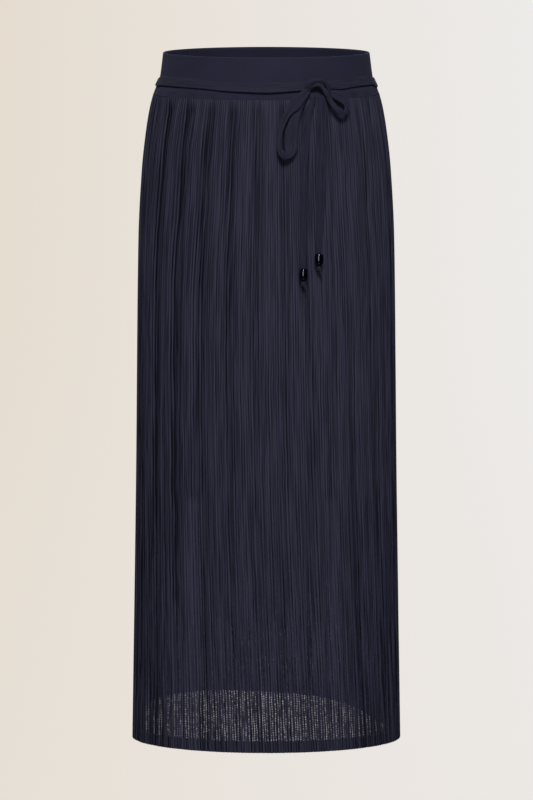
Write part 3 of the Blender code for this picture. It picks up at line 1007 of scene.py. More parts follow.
class PleatTree(PieceTree):
    """The node tree that presses a smooth panel into fine uneven pleats."""

    NAME = "Pleats"
    TAKES = "Panel"
    GIVES = "Panel"
    SIZES = {
        "Pleat depth": 0.0009,
        "Depth at seam": 0.0003,
        "Run-in": 0.012,
        "Unevenness": 0.25,
        "Spacing": 0.35,
        "Sway": 0.36,
        "Sway length": 0.13,
        "Crest sharpness": 0.70,
        "Sharpness in folds": 2.4,
        "Depth in folds": 2.4,
    }
    SWAY_GROUP = 0.14  # how fast the sway changes from one pleat to the next
    SPACING_GROUP = 0.7  # the same for their spacing
    FADE_APART = 2.3  # how far apart two pleats' fades are read, so that they differ
    FADE_REACH = (0.3, 0.7)  # the noise's values that a fade runs between
    FADE = (0.85, 1.15)  # shares of its own height that a pleat fades between

    def _shape(self, add: AddNode, given: bpy.types.bpy_prop_collection) -> Node:
        """Where each point lies in its pleat, and how far in it goes.

        Args:
            add: Adds a node to the tree.
            given: The tree's inputs.

        Returns:
            The pleated panel, whose valleys are marked.
        """
        across, below, edge, packed = (
            add("GeometryNodeInputNamedAttribute", name, data_type="FLOAT").outputs[0]
            for name in ("across", "below", "edge", "packed")
        )
        down = add(MATH, below, given["Sway length"], operation="DIVIDE")
        slow = add(MATH, across, self.SWAY_GROUP, operation="MULTIPLY")
        swing = add(NOISE, add(COMBINE, slow, down, given["Seed"]), named={"Scale": 1.0, "Detail": 1.0})
        swing = add(RANGE, swing, 0.0, 1.0, -1.0, 1.0, clamp=False)
        beside = add(MATH, across, self.SPACING_GROUP, operation="MULTIPLY")
        spacing = add(NOISE, add(COMBINE, beside, 0.0, given["Seed"]), named={"Scale": 1.0, "Detail": 0.0})
        spacing = add(RANGE, spacing, 0.0, 1.0, -1.0, 1.0, clamp=False)
        spacing = add(MATH, spacing, given["Spacing"], operation="MULTIPLY")
        swing = add(MATH, swing, given["Sway"], spacing, operation="MULTIPLY_ADD")
        place_in = add(MATH, swing, edge, across, operation="MULTIPLY_ADD")
        pleat = add(MATH, place_in, operation="FLOOR")
        phase = add(MATH, place_in, operation="FRACT")
        half_turn = add(MATH, phase, math.pi, operation="MULTIPLY")
        arch = add(MATH, half_turn, operation="SINE")
        sharpness = add(RANGE, packed, 0.0, 1.0, given["Crest sharpness"], given["Sharpness in folds"])
        arch = add(MATH, arch, sharpness, operation="POWER")

        low = add(MATH, 1.0, given["Unevenness"], operation="SUBTRACT")
        high = add(MATH, 1.0, given["Unevenness"], operation="ADD")
        chance = {2: low, 3: high, "ID": pleat, "Seed": given["Seed"]}  # 2 and 3 bound the number
        own = add("FunctionNodeRandomValue", named=chance, data_type="FLOAT").outputs[1]
        apart = add(MATH, pleat, self.FADE_APART, operation="MULTIPLY")
        fade = add(NOISE, add(COMBINE, apart, down, given["Seed"]), named={"Scale": 1.0, "Detail": 0.0})
        fade = add(RANGE, fade, *self.FADE_REACH, *self.FADE)
        height = add(MATH, own, fade, operation="MULTIPLY")
        height = add(MATH, height, 1.0, operation="MINIMUM")

        run = add(RANGE, below, 0.0, given["Run-in"], 0.0, 1.0, **SMOOTH)
        depth = add(RANGE, run, 0.0, 1.0, given["Depth at seam"], given["Pleat depth"])
        deeper = add(RANGE, packed, 0.0, 1.0, 1.0, given["Depth in folds"])
        depth = add(MATH, depth, deeper, operation="MULTIPLY")
        raised = add(MATH, arch, height, operation="MULTIPLY")
        outward = add(MATH, raised, 1.0, operation="SUBTRACT")
        outward = add(MATH, outward, depth, operation="MULTIPLY")
        normal = add("GeometryNodeInputNormal")
        offset = add("ShaderNodeVectorMath", normal, named={"Scale": outward}, operation="SCALE")
        pressed = add("GeometryNodeSetPosition", given["Panel"], named={"Offset": offset})
        valley = add(MATH, 1.0, arch, operation="SUBTRACT")
        marks = {"Name": "valley", "Value": valley}
        return add("GeometryNodeStoreNamedAttribute", pressed, named=marks, data_type="FLOAT", domain="POINT")


class StitchTree(PieceTree):
    """The node tree that sews a row of stitches along a line of points."""

    NAME = "Stitches"
    TAKES = "Line"
    GIVES = "Stitches"
    SIZES = {"Pitch": 0.0036, "Stitch length": 0.0025, "Thread radius": 0.00018}
    TILT = 0.12  # radians, the most that a stitch leans either way

    def _shape(self, add: AddNode, given: bpy.types.bpy_prop_collection) -> Node:
        """Evenly spaced points, and a stitch laid along the line at each.

        Args:
            add: Adds a node to the tree.
            given: The tree's inputs.

        Returns:
            The stitches, as instances.
        """
        curve = add("GeometryNodeMeshToCurve", given["Line"])
        spots = add("GeometryNodeCurveToPoints", curve, named={"Length": given["Pitch"]}, mode="LENGTH")
        along = {"Vector": spots.outputs["Tangent"]}
        upright = add("FunctionNodeAlignRotationToVector", named=along, axis="Z")
        lean = Vector((self.TILT, self.TILT, 0.0))
        seeded = {"Seed": given["Seed"]}
        tilt = add("FunctionNodeRandomValue", -lean, lean, named=seeded, data_type="FLOAT_VECTOR")
        turned = add("FunctionNodeRotateRotation", upright, named={"Rotate By": tilt}, rotation_space="LOCAL")
        ball = {"Segments": 6, "Rings": 5, "Radius": given["Thread radius"]}
        stitch = add("GeometryNodeSetShadeSmooth", add("GeometryNodeMeshUVSphere", named=ball))
        half = add(MATH, given["Stitch length"], given["Thread radius"], operation="DIVIDE")
        half = add(MATH, half, 0.5, operation="MULTIPLY")
        long = add(COMBINE, 1.0, 1.0, half)
        laid = {"Instance": stitch, "Rotation": turned, "Scale": long}
        return add("GeometryNodeInstanceOnPoints", spots.outputs["Points"], named=laid)


# ---- the skirt's panels ------------------------------------------------------
@dataclass
class PleatedPanel:
    """The front or back of the skirt: one pleated panel with a turned-up hem."""

    side: Side
    seed: int
    flat: tuple[float, float] = (0.60, 0.86)  # the cut
    columns_per_pleat: int = 6
    seam_rows: tuple[float, ...] = (0.0, 0.0002, 0.0012)  # below the waist seam
    fine_rows: int = 9  # close under the waistband
    fine_start: float = 0.003
    fine_length: float = 0.040
    long_rows: int = 64
    long_end: float = 0.003  # above the hem
    hem_rows: tuple[float, ...] = (0.0003, 0.0)
    run_in: float = 0.022  # the folds reach full depth this far below the seam
    sway_edge_pleats: float = 3.0  # the pleats hang straight this near a side seam
    hem_ease: float = 0.090  # the folds open out this far above the hem
    depth_at_hem: float = 0.10  # what is left of them there
    packed_depth: float = 0.0075  # a fold this deep packs its pleats tight
    packed_late: float = 3.0  # how late the hem's packing sets in on the way down
    least_slack: float = 0.3  # how open the ladders still are at the side seams
    slack_turn: float = 1.1
    wall: float = 0.0005

    def build(self, pleats: PleatTree, finish: Material) -> Object:
        """Builds the panel.

        Args:
            pleats: The tree that presses the pleats.
            finish: The pleated cloth.

        Returns:
            The piece, which stands for its solid.
        """
        name = f"skirt_{self.side.value}"
        mesh = pleats.through(new_object(name, self._smooth_mesh()), self.seed, finish)
        piece = place(name, mesh, Slot.PLEATED_KNIT)
        cloth = piece.modifiers.new("Cloth thickness", "SOLIDIFY")
        cloth.thickness = self.wall
        cloth.offset = -1.0
        return piece

    def _heights(self) -> np.ndarray:
        """Spaces the rows, closer together under the waistband and at the hem.

        Returns:
            The rows' heights in front.
        """
        top, hem = SKIRT_SECTIONS[0].z, SKIRT_SECTIONS[-1].z
        fine = np.linspace(top - self.fine_start, top - self.fine_length, self.fine_rows, endpoint=False)
        long = np.linspace(top - self.fine_length, hem + self.long_end, self.long_rows)
        return np.concatenate([top - np.array(self.seam_rows), fine, long, hem + np.array(self.hem_rows)])

    def _smooth_mesh(self) -> Mesh:
        """The panel before pleating, drawn in by its large folds.

        Returns:
            The mesh, with the numbers that the pleats and the finish read at each point.
        """
        columns = PLEATS_PER_PANEL * self.columns_per_pleat
        heights = self._heights()[:, None]
        top, above_hem, hem = (SKIRT_SECTIONS[i].z for i in (0, -2, -1))
        drop = (top - heights) / (top - hem)
        angles = leaning(self.side, even_angles(self.side, columns)[None, :], drop)
        degrees = np.degrees(angles)
        rises = read_off(HEM_RISE, "rise", degrees[-1])
        z = heights + rises * np.clip((above_hem - heights) / (above_hem - hem), 0.0, 1.0)
        taken = seam_gather(angles)
        depth = gathers(self.side, angles, drop) * (taken + (1.0 - taken) * eased((top - z) / self.run_in))
        opened = eased((heights - hem) / self.hem_ease)
        inward = depth * (self.depth_at_hem + (1.0 - self.depth_at_hem) * opened)
        across = np.linspace(0.0, PLEATS_PER_PANEL, columns + 1)
        from_edge = np.minimum(across, PLEATS_PER_PANEL - across) / self.sway_edge_pleats
        upper, lower = (read_off(PACKING[self.side], column, degrees) for column in ("at_waist", "at_hem"))
        loose = upper + (lower - upper) * drop ** self.packed_late
        turned = (angles - (self.side.start + self.side.end) / 2) * self.slack_turn
        thin = [strip.at(degrees, top - z) for strip in THIN_PLACES[self.side]]
        points = SKIRT_FORM.points(angles, z, -inward)
        mesh = skin(f"skirt_{self.side.value}", points, across, (top - heights).ravel())
        numbers = {
            "across": np.broadcast_to(across, z.shape),
            "edge": np.broadcast_to(eased(from_edge), z.shape),
            "below": top - z,
            "above_hem": z - hem - rises,
            "packed": np.minimum(loose + (depth / self.packed_depth) ** 2, 1.0),
            "slack": self.least_slack + (1.0 - self.least_slack) * np.cos(turned) ** 2,
            "thin": sum(thin, np.zeros(z.shape)),
        }
        for name, values in numbers.items():
            attribute = mesh.attributes.new(name, "FLOAT", "POINT")
            attribute.data.foreach_set("value", np.ascontiguousarray(values, np.float32).ravel())
        return mesh


@dataclass
class HemStitches:
    """The row of stitches that holds a panel's turned-up hem."""

    panel: Object
    seed: int
    above_hem: float = 0.0145
    proud: float = 0.00012  # the thread's middle above the cloth

    def build(self, stitches: StitchTree, finish: Material) -> Object:
        """Sews the row on the panel's pleats, which it follows in and out.

        Args:
            stitches: The tree that lays the stitches.
            finish: The thread.

        Returns:
            The row, as one piece.
        """
        name = f"hem_stitches_{self.panel.name.split('_')[1]}"
        line = self._line()
        mesh = bpy.data.meshes.new(name)
        mesh.from_pydata(line.tolist(), [(i, i + 1) for i in range(len(line) - 1)], [])
        sewn = stitches.through(new_object(f"{name}_line", mesh), self.seed, finish)
        sewn.name = name
        return new_piece(name, sewn)

    def _line(self) -> np.ndarray:
        """Follows the panel's outer face, the same height above its hem all along.

        Returns:
            The points that the row runs through.
        """
        mesh = self.panel.data
        points, normals = np.empty((2, 3 * len(mesh.vertices)), np.float32)
        above = np.empty(len(mesh.vertices), np.float32)
        mesh.vertices.foreach_get("co", points)
        mesh.vertices.foreach_get("normal", normals)
        mesh.attributes["above_hem"].data.foreach_get("value", above)
        columns = PLEATS_PER_PANEL * PleatedPanel.columns_per_pleat + 1
        grid = (points + self.proud * normals).reshape(-1, columns, 3)
        rows = above.reshape(-1, columns)[:, columns // 2]
        lower = int(np.searchsorted(-rows, -self.above_hem))
        share = (self.above_hem - rows[lower]) / (rows[lower - 1] - rows[lower])
        return grid[lower] + share * (grid[lower - 1] - grid[lower])


# ---- the waistband ----------------------------------------------------------
@dataclass
class Waistband:
    """Half of the waistband: doubled jersey, folded over at the top."""

    side: Side
    flat: tuple[float, float] = (0.385, 0.056)
    wall: float = 0.0022
    columns: int = 200
    bottom_rows: tuple[float, ...] = (0.0, 0.0002)  # above the waist seam
    upright_rows: int = 28
    upright_start: float = 0.001
    rim_rows: int = 10
    rim_rise: float = 0.0025  # the folded top above the last upright section

    def build(self, finish: Material) -> Object:
        """Builds the half.

        Args:
            finish: The jersey.

        Returns:
            The piece, which stands for its solid.
        """
        top, bottom = WAISTBAND_SECTIONS[0].z, WAISTBAND_SECTIONS[-1].z
        rows = np.linspace(bottom + self.upright_start, top, self.upright_rows)
        upright = np.concatenate([bottom + np.array(self.bottom_rows), rows])
        turn = np.linspace(0.0, math.pi, self.rim_rows + 2)[1:-1]
        z = np.concatenate([upright, top + self.rim_rise * np.sin(turn), upright[::-1]])
        rim = self.wall / 2 * (1.0 - np.cos(turn))
        inward = np.concatenate([np.zeros(len(upright)), rim, np.full(len(upright), self.wall)])
        angles = even_angles(self.side, self.columns)
        drawn = eased((GATHER_TOP - z) / (GATHER_TOP - bottom))
        gathered = seam_gather(angles) * gathers(self.side, angles)
        inward = inward[None, :] + drawn[None, :] * gathered[:, None]
        points = WAISTBAND_FORM.points(angles[:, None], np.minimum(z, top)[None, :], -inward)
        points[..., 2] = z
        profile = run_of(points[len(angles) // 2])
        profile = np.append(profile, profile[-1] + self.wall)
        name = f"waistband_{self.side.value}"
        mesh = skin(name, points, profile, run_of(points[:, 0]), closed=True, capped=True)
        piece = place(name, mesh, Slot.JERSEY, finish)
        return piece


# ---- the tie ----------------------------------------------------------------
@dataclass(frozen=True)
class TiePoint:
    """A point on the tie's middle line, with half its flat width there."""

    x: float
    z: float
    lift: float  # out from the cloth behind it
    half_width: float


@dataclass(frozen=True)
class Crease:
    """A crease along the flat tube.

    Its places run across the face from -1, its left edge, to 1, and its start and
    end are shares of the stretch's length.
    """

    place: float
    place_at_end: float
    depth: float  # share of the tube's thickness
    width: float
    start: float
    end: float

    def depth_at(self, across: np.ndarray, along: float) -> np.ndarray:
        """How deep the crease is across the face, at a share of the stretch's length.

        Args:
            across: The places across the face.
            along: The share of the length.

        Returns:
            The depth at each place, as a share of the tube's thickness.
        """
        middle = self.place + (self.place_at_end - self.place) * along
        run = eased(np.array(6.0 * min(along - self.start, self.end - along)))
        return self.depth * run * np.exp(-(((across - middle) / self.width) ** 2))


@dataclass(frozen=True)
class BeltPoint:
    """How the tie lies at one angle round the waistband."""

    angle_deg: float
    drop: float  # below its even height
    hang_out: float = 0.0  # how far its lower edge hangs out, or is drawn in if negative
    wider: float = 0.0  # on each side of its middle line


ARCH_ROUTE = rows_of(
    TiePoint,
    (0.0519, -0.0163, 0.0040, 0.0036), (0.0530, -0.0111, 0.0070, 0.0041), (0.0555, -0.0064, 0.0090, 0.0041),
    (0.0599, -0.0032, 0.0104, 0.0034), (0.0654, -0.0024, 0.0110, 0.0028), (0.0707, -0.0030, 0.0110, 0.0027),
    (0.0753, -0.0058, 0.0100, 0.0027), (0.0784, -0.0106, 0.0086, 0.0027), (0.0798, -0.0162, 0.0064, 0.0026),
    (0.0792, -0.0208, 0.0045, 0.0026),
)
STRAND_ROUTE = rows_of(
    TiePoint,
    (0.0538, -0.0171, 0.0030, 0.0026), (0.0563, -0.0125, 0.0062, 0.0026), (0.0599, -0.0097, 0.0086, 0.0025),
    (0.0650, -0.0086, 0.0096, 0.0023), (0.0697, -0.0097, 0.0100, 0.0023), (0.0735, -0.0134, 0.0102, 0.0025),
    (0.0766, -0.0185, 0.0100, 0.0027), (0.0787, -0.0224, 0.0099, 0.0028),
)
LOOP_ROUTES = {
    "left": rows_of(
        TiePoint,
        (0.0535, -0.0156, 0.0052, 0.0044), (0.0483, -0.0211, 0.0062, 0.0059),
        (0.0423, -0.0273, 0.0066, 0.0072), (0.0365, -0.0335, 0.0068, 0.0077),
        (0.0311, -0.0391, 0.0072, 0.0059), (0.0264, -0.0460, 0.0078, 0.0043),
        (0.0221, -0.0548, 0.0084, 0.0036), (0.0190, -0.0643, 0.0088, 0.0032),
        (0.0171, -0.0745, 0.0088, 0.0030), (0.0166, -0.0840, 0.0088, 0.0031),
        (0.0182, -0.0924, 0.0084, 0.0039), (0.0226, -0.0969, 0.0078, 0.0049),
        (0.0288, -0.0955, 0.0070, 0.0063), (0.0319, -0.0883, 0.0058, 0.0080),
        (0.0312, -0.0788, 0.0048, 0.0085), (0.0323, -0.0687, 0.0040, 0.0081),
        (0.0346, -0.0585, 0.0036, 0.0068), (0.0378, -0.0490, 0.0032, 0.0059),
        (0.0413, -0.0389, 0.0030, 0.0054), (0.0458, -0.0295, 0.0030, 0.0049),
        (0.0513, -0.0208, 0.0032, 0.0041),
    ),
    "right": rows_of(
        TiePoint,
        (0.0785, -0.0216, 0.0098, 0.0030), (0.0824, -0.0287, 0.0092, 0.0032),
        (0.0867, -0.0356, 0.0092, 0.0034), (0.0916, -0.0414, 0.0096, 0.0034),
        (0.0965, -0.0451, 0.0094, 0.0032), (0.1006, -0.0453, 0.0088, 0.0032),
        (0.1031, -0.0422, 0.0084, 0.0035), (0.1036, -0.0367, 0.0078, 0.0037),
        (0.1012, -0.0312, 0.0072, 0.0046), (0.0960, -0.0266, 0.0066, 0.0054),
        (0.0898, -0.0234, 0.0060, 0.0052), (0.0841, -0.0209, 0.0054, 0.0041),
    ),
}
TAIL_ROUTES = {
    "left": rows_of(
        TiePoint,
        (0.0604, -0.0210, 0.0042, 0.0026), (0.0608, -0.0253, 0.0048, 0.0031),
        (0.0589, -0.0316, 0.0040, 0.0037), (0.0553, -0.0405, 0.0030, 0.0045),
        (0.0527, -0.0532, 0.0022, 0.0050), (0.0509, -0.0723, 0.0020, 0.0049),
        (0.0492, -0.0953, 0.0018, 0.0048), (0.0480, -0.1272, 0.0017, 0.0046),
        (0.0476, -0.1657, 0.0018, 0.0044), (0.0476, -0.2041, 0.0026, 0.0040),
        (0.0476, -0.2284, 0.0044, 0.0034), (0.0477, -0.2426, 0.0060, 0.0026),
        (0.0477, -0.2452, 0.0060, 0.0022),
    ),
    "right": rows_of(
        TiePoint,
        (0.0710, -0.0219, 0.0038, 0.0034), (0.0720, -0.0275, 0.0042, 0.0044),
        (0.0723, -0.0365, 0.0034, 0.0059), (0.0714, -0.0511, 0.0024, 0.0070),
        (0.0710, -0.0728, 0.0020, 0.0072), (0.0701, -0.1047, 0.0018, 0.0070),
        (0.0700, -0.1430, 0.0018, 0.0066), (0.0690, -0.1815, 0.0026, 0.0050),
        (0.0682, -0.2071, 0.0044, 0.0036), (0.0677, -0.2235, 0.0060, 0.0026),
        (0.0677, -0.2261, 0.0060, 0.0022),
    ),
}
TAIL_CREASES = {
    "left": rows_of(
        Crease,
        (0.45, 1.60, 0.90, 0.14, -0.20, 0.32), (0.62, 0.55, 0.80, 0.13, 0.22, 1.05),
        (-0.45, 0.10, 0.65, 0.12, 0.10, 0.70), (-0.10, -0.55, 0.60, 0.11, 0.45, 1.05),
        (-0.72, -0.70, 0.55, 0.10, 0.04, 0.90), (0.18, 0.30, 0.50, 0.10, 0.15, 0.60),
    ),
    "right": rows_of(
        Crease,
        (0.60, 0.50, 0.95, 0.13, 0.05, 0.92), (-0.12, -0.30, 0.80, 0.16, -0.20, 0.13),
        (-0.40, -0.05, 0.60, 0.10, 0.16, 0.62), (0.26, 0.05, 0.55, 0.10, 0.00, 0.44),
        (-0.60, -0.45, 0.60, 0.11, 0.52, 1.05), (-0.78, -0.74, 0.50, 0.09, 0.10, 0.60),
        (0.20, 0.22, 0.50, 0.10, 0.55, 0.95),
    ),
}
LOOP_CREASES = {
    "left": rows_of(Crease, (0.30, -0.20, 0.45, 0.12, -0.20, 0.45), (0.10, 0.35, 0.45, 0.10, 0.50, 1.20)),
    "right": rows_of(Crease, (-0.25, 0.20, 0.45, 0.12, -0.20, 0.55), (0.30, -0.10, 0.40, 0.10, 0.50, 1.20)),
}
BELT_LIE = rows_of(
    BeltPoint,
    (-180.0, 0.0002), (-130.0, 0.0004), (-104.0, 0.0002), (-90.0, 0.0001, -0.0007, -0.0005),
    (-80.0, -0.0020, 0.0, -0.0002), (-72.0, -0.0039), (-50.0, -0.0040), (-33.0, -0.0025, 0.0004),
    (-16.0, -0.0008, 0.0011), (-2.0, 0.0000, 0.0017), (14.0, -0.0016, 0.0015), (28.0, -0.0016, -0.0014),
    (38.0, -0.0017, -0.0016), (42.0, -0.0019, 0.0004), (52.0, -0.0034), (63.0, -0.0047), (74.0, -0.0045),
    (80.0, -0.0012, -0.0006, 0.0001), (85.0, 0.0005, -0.0014, 0.0001), (90.0, 0.0008, -0.0016, 0.0001),
    (102.0, 0.0006, -0.0008), (150.0, -0.0006), (180.0, 0.0002),
)


def smooth_route(points: np.ndarray, steps: int) -> np.ndarray:
    """A smooth curve through rows of values.

    Args:
        points: The rows.
        steps: How many pieces each span between two rows is cut into.

    Returns:
        The curve's rows, from the first row given to the last.
    """
    ends = np.concatenate([points[:1], points, points[-1:]])
    t = (np.arange(steps) / steps)[:, None]
    spans = [
        0.5 * (2 * b + (c - a) * t + (2 * a - 5 * b + 4 * c - d) * t * t + (3 * b - a - 3 * c + d) * t ** 3)
        for a, b, c, d in zip(ends, ends[1:], ends[2:], ends[3:])
    ]
    return np.concatenate([*spans, points[-1:]])


def along_at(line: np.ndarray, index: int) -> np.ndarray:
    """The direction of a line of points at one of them."""
    along = line[min(index + 1, len(line) - 1)] - line[max(index - 1, 0)]
    return along / np.linalg.norm(along)


@dataclass
class TieStretch:
    """A stretch of the jersey tube, pressed flat and laid along a route."""

    name: str
    route: tuple[TiePoint, ...]
    half_thickness: float = TIE_HALF_THICKNESS
    steps: int = 8
    sides: int = 32
    hollow: float = 0.30  # how far the face has caved in between its fuller edges
    creases: tuple[Crease, ...] = ()
    roundest: float = 0.75  # the most that its half thickness is of its half width
    edge_power: float = 0.85  # both powers are under 1, which makes the outline squarer
    face_power: float = 0.7

    def rows(self) -> np.ndarray:
        """The route's x, z, lift and half-width along the smooth curve."""
        return smooth_route(np.array([(p.x, p.z, p.lift, p.half_width) for p in self.route]), self.steps)

    def line(self) -> np.ndarray:
        """The stretch's middle line."""
        x, z, lift, _ = self.rows().T
        return WHOLE_FORM.on_front(x, z, lift)

    def mesh(self) -> Mesh:
        """Lays the tube along its route, with its flat side to the cloth behind it.

        Returns:
            The closed mesh.
        """
        rows, line = self.rows(), self.line()
        cloth = WHOLE_FORM.front_normals(rows[:, 0], rows[:, 1])
        across_share, out_share = self._section()
        flat = cloth[0]
        rings = []
        for index, centre in enumerate(line):
            along = along_at(line, index)
            facing = flat @ cloth[index]
            flat = flat + abs(facing) * (np.copysign(1.0, facing) * cloth[index] - flat)
            flat = flat - along * (flat @ along)
            flat /= np.linalg.norm(flat)
            across = np.cross(along, flat)
            wide = rows[index, 3] * across_share
            thick = min(self.half_thickness, self.roundest * rows[index, 3]) * out_share
            for crease in self.creases:
                groove = crease.depth_at(-across_share, index / (len(line) - 1))
                thick = np.where(out_share > 0, thick * (1.0 - groove), thick)
            rings.append(centre + wide[:, None] * across + thick[:, None] * flat)
        girth = girth_of(rings[len(rings) // 2])
        return skin(f"{self.name}_cloth", np.array(rings), girth, run_of(line), closed=True, capped=True)

    def _section(self) -> tuple[np.ndarray, np.ndarray]:
        """The flattened tube's outline.

        Returns:
            How far each of its points is across and out, from -1 to 1.
        """
        turn = turns(self.sides, 0.5)
        across, out = bulged(np.cos(turn), self.edge_power), bulged(np.sin(turn), self.face_power)
        return across, out * (1.0 - self.hollow * (1.0 - across * across))


@dataclass
class TieBelt:
    """The tie where it lies round the waistband, from one side of the knot to the other."""

    half_height: float = 0.0058
    clear: float = 0.0002
    top_half_thickness: float = 0.0009
    bottom_half_thickness: float = 0.0014
    thinnest: float = 0.2  # share of its thickness that is left where its edge is drawn in
    lip: float = 0.4  # share of its height that hangs out or is drawn in
    lip_power: float = 1.5  # over 1, most of that is at its edge
    knot_half_angle: float = math.radians(1.2)
    columns: int = 300
    sides: int = 28
    edge_power: float = 0.8  # both powers are under 1, which makes the outline squarer
    face_power: float = 0.55
    # Each swell's share of the height, its waves round the waist, and where they start.
    swells: tuple[tuple[float, float, float], ...] = ((0.05, 5.0, 1.1), (0.04, 13.0, 0.0))

    def mesh(self) -> Mesh:
        """Lays the tie round the waistband, thin along its top edge and full along its lower one.

        Returns:
            The closed mesh.
        """
        lift = self.clear + TIE_HALF_THICKNESS
        knot_angle = math.asin(KNOT_X / (float(WHOLE_FORM.half_sizes(np.array(KNOT_Z))[0]) + lift))
        start, end = knot_angle + self.knot_half_angle, knot_angle - self.knot_half_angle + 2 * math.pi
        angle = np.linspace(start, end, self.columns + 1)
        degrees = (np.degrees(angle) + 180.0) % 360.0 - 180.0
        drop, hang, wider = (read_off(BELT_LIE, column, degrees) for column in ("drop", "hang_out", "wider"))
        turn = turns(self.sides, 0.5)
        upward = bulged(np.sin(turn), self.edge_power)
        outward = 1.0 + bulged(np.cos(turn), self.face_power)
        fuller = 1.0 + sum(share * np.sin(waves * angle + shift) for share, waves, shift in self.swells)
        up = (1.0 + upward) / 2
        thick = self.bottom_half_thickness + up * (self.top_half_thickness - self.bottom_half_thickness)
        thick = thick * outward
        lip = np.clip(1.0 - up / self.lip, 0.0, 1.0) ** self.lip_power
        out = self.clear + np.maximum(hang[:, None] * lip + thick, self.thinnest * thick)
        half_height = self.half_height * fuller + wider
        z = (TIE_HEIGHT - drop)[:, None] + half_height[:, None] * upward[None, :]
        rings = WHOLE_FORM.points(angle[:, None], z, out)
        girth, run = girth_of(rings[0]), run_of(rings[:, 0])
        return skin("tie_belt_cloth", rings, girth, run, closed=True, capped=True)


@dataclass
class EndKnot:
    """The overhand knot in a tail's end that stops its bead, with the tip that is left."""

    side: str
    top: np.ndarray
    half_size: tuple[float, float, float] = (0.0036, 0.0030, 0.0040)
    cord_radius: float = 0.0015
    tip_lean: float = 0.0040
    tip_forward: float = 0.0004
    tip_length: float = 0.0060
    tip_taper: float = 0.35
    loop_steps: int = 60
    tip_steps: int = 8

    def mesh(self) -> Mesh:
        """Ties a trefoil of cord and lets its tip hang.

        Returns:
            The closed mesh.
        """
        turn = np.linspace(0.0, 2 * math.pi, self.loop_steps + 1)
        across, away = np.sin(turn) + 2 * np.sin(2 * turn), np.cos(turn) - 2 * np.cos(2 * turn)
        trefoil = np.stack([across / 3, away / 3, -np.sin(3 * turn)], axis=-1)
        tall = self.half_size[2]
        centre = self.top - np.array([0.0, 0.0, tall])
        loop = centre + trefoil * (np.array(self.half_size) - self.cord_radius)
        share = np.linspace(0.0, 1.0, self.tip_steps + 1)
        tip = centre + share[:, None] * np.array([self.tip_lean, -self.tip_forward, -tall - self.tip_length])
        name = f"end_knot_{self.side}_cloth"
        taper = self.cord_radius * (1.0 - self.tip_taper * share ** 2)
        cords = [round_tube(name, loop, np.full(len(loop), self.cord_radius)), round_tube(name, tip, taper)]
        return joined(name, cords)


def round_tube(name: str, line: np.ndarray, radii: np.ndarray, sides: int = 14) -> Mesh:
    """A round tube along a line of points.

    Args:
        name: The mesh's name.
        line: The tube's middle line.
        radii: Its radius at each point.
        sides: How many sides it has.

    Returns:
        The closed mesh.
    """
    turn = turns(sides)
    side = np.array([1.0, 0.0, 0.0])
    rings = []
    for index, centre in enumerate(line):
        along = along_at(line, index)
        side = side - along * (side @ along)
        side /= np.linalg.norm(side)
        other = np.cross(along, side)
        rings.append(centre + radii[index] * (np.outer(np.cos(turn), side) + np.outer(np.sin(turn), other)))
    girth = 2 * math.pi * radii[0] * np.arange(sides + 1) / sides
    return skin(name, np.array(rings), girth, run_of(line), closed=True, capped=True)


def joined(name: str, meshes: list[Mesh]) -> Mesh:
    """Makes one mesh of several.

    Args:
        name: The new mesh's name.
        meshes: The meshes, which are removed.

    Returns:
        The new mesh.
    """
    whole = bmesh.new()
    for mesh in meshes:
        whole.from_mesh(mesh)
        bpy.data.meshes.remove(mesh)
    result = bpy.data.meshes.new(name)
    whole.to_mesh(result)
    whole.free()
    return result


@dataclass
class Bead:
    """A bored barrel bead hanging on a tail, turned round its own axis."""

    side: str
    top: np.ndarray
    bore: float = 0.0026
    flare: float = 1.15  # the bore's mouth against the bore
    mouth: tuple[float, float] = (0.46, 0.495)  # the flare's start and end, shares of the height
    belly: float = 0.08  # how much the barrel narrows evenly towards its ends
    shoulder: float = 0.40  # how much more it is rounded off close to them
    rows: int = 25
    steps: int = 48
    uv_step: float = 0.001

    def build(self, finish: Material) -> Object:
        """Builds the bead.

        Args:
            finish: The plastic.

        Returns:
            The piece, which stands for its solid.
        """
        rise = np.linspace(-0.5, 0.5, self.rows)
        barrel = BEAD_RADIUS * (1.0 - self.belly * (2 * rise) ** 2 - self.shoulder * (2 * rise) ** 8)
        bore, mouth = np.array([self.bore, self.bore * self.flare]), np.array(self.mouth)
        radius = np.concatenate([bore, barrel, bore[::-1]])
        height = np.concatenate([-mouth, rise, mouth[::-1]]) * BEAD_HEIGHT
        centre = self.top - np.array([0.0, 0.0, SEAM_GAP + BEAD_HEIGHT / 2])
        rings = revolved(radius, height, turns(self.steps)).swapaxes(0, 1) + centre
        rings = np.concatenate([rings, rings[:1]])
        profile, round_it = (np.arange(count + 1) * self.uv_step for count in (len(height), self.steps))
        mesh = skin(f"bead_{self.side}", rings, profile, round_it, closed=True)
        return place(f"bead_{self.side}", mesh, Slot.BEAD, finish)


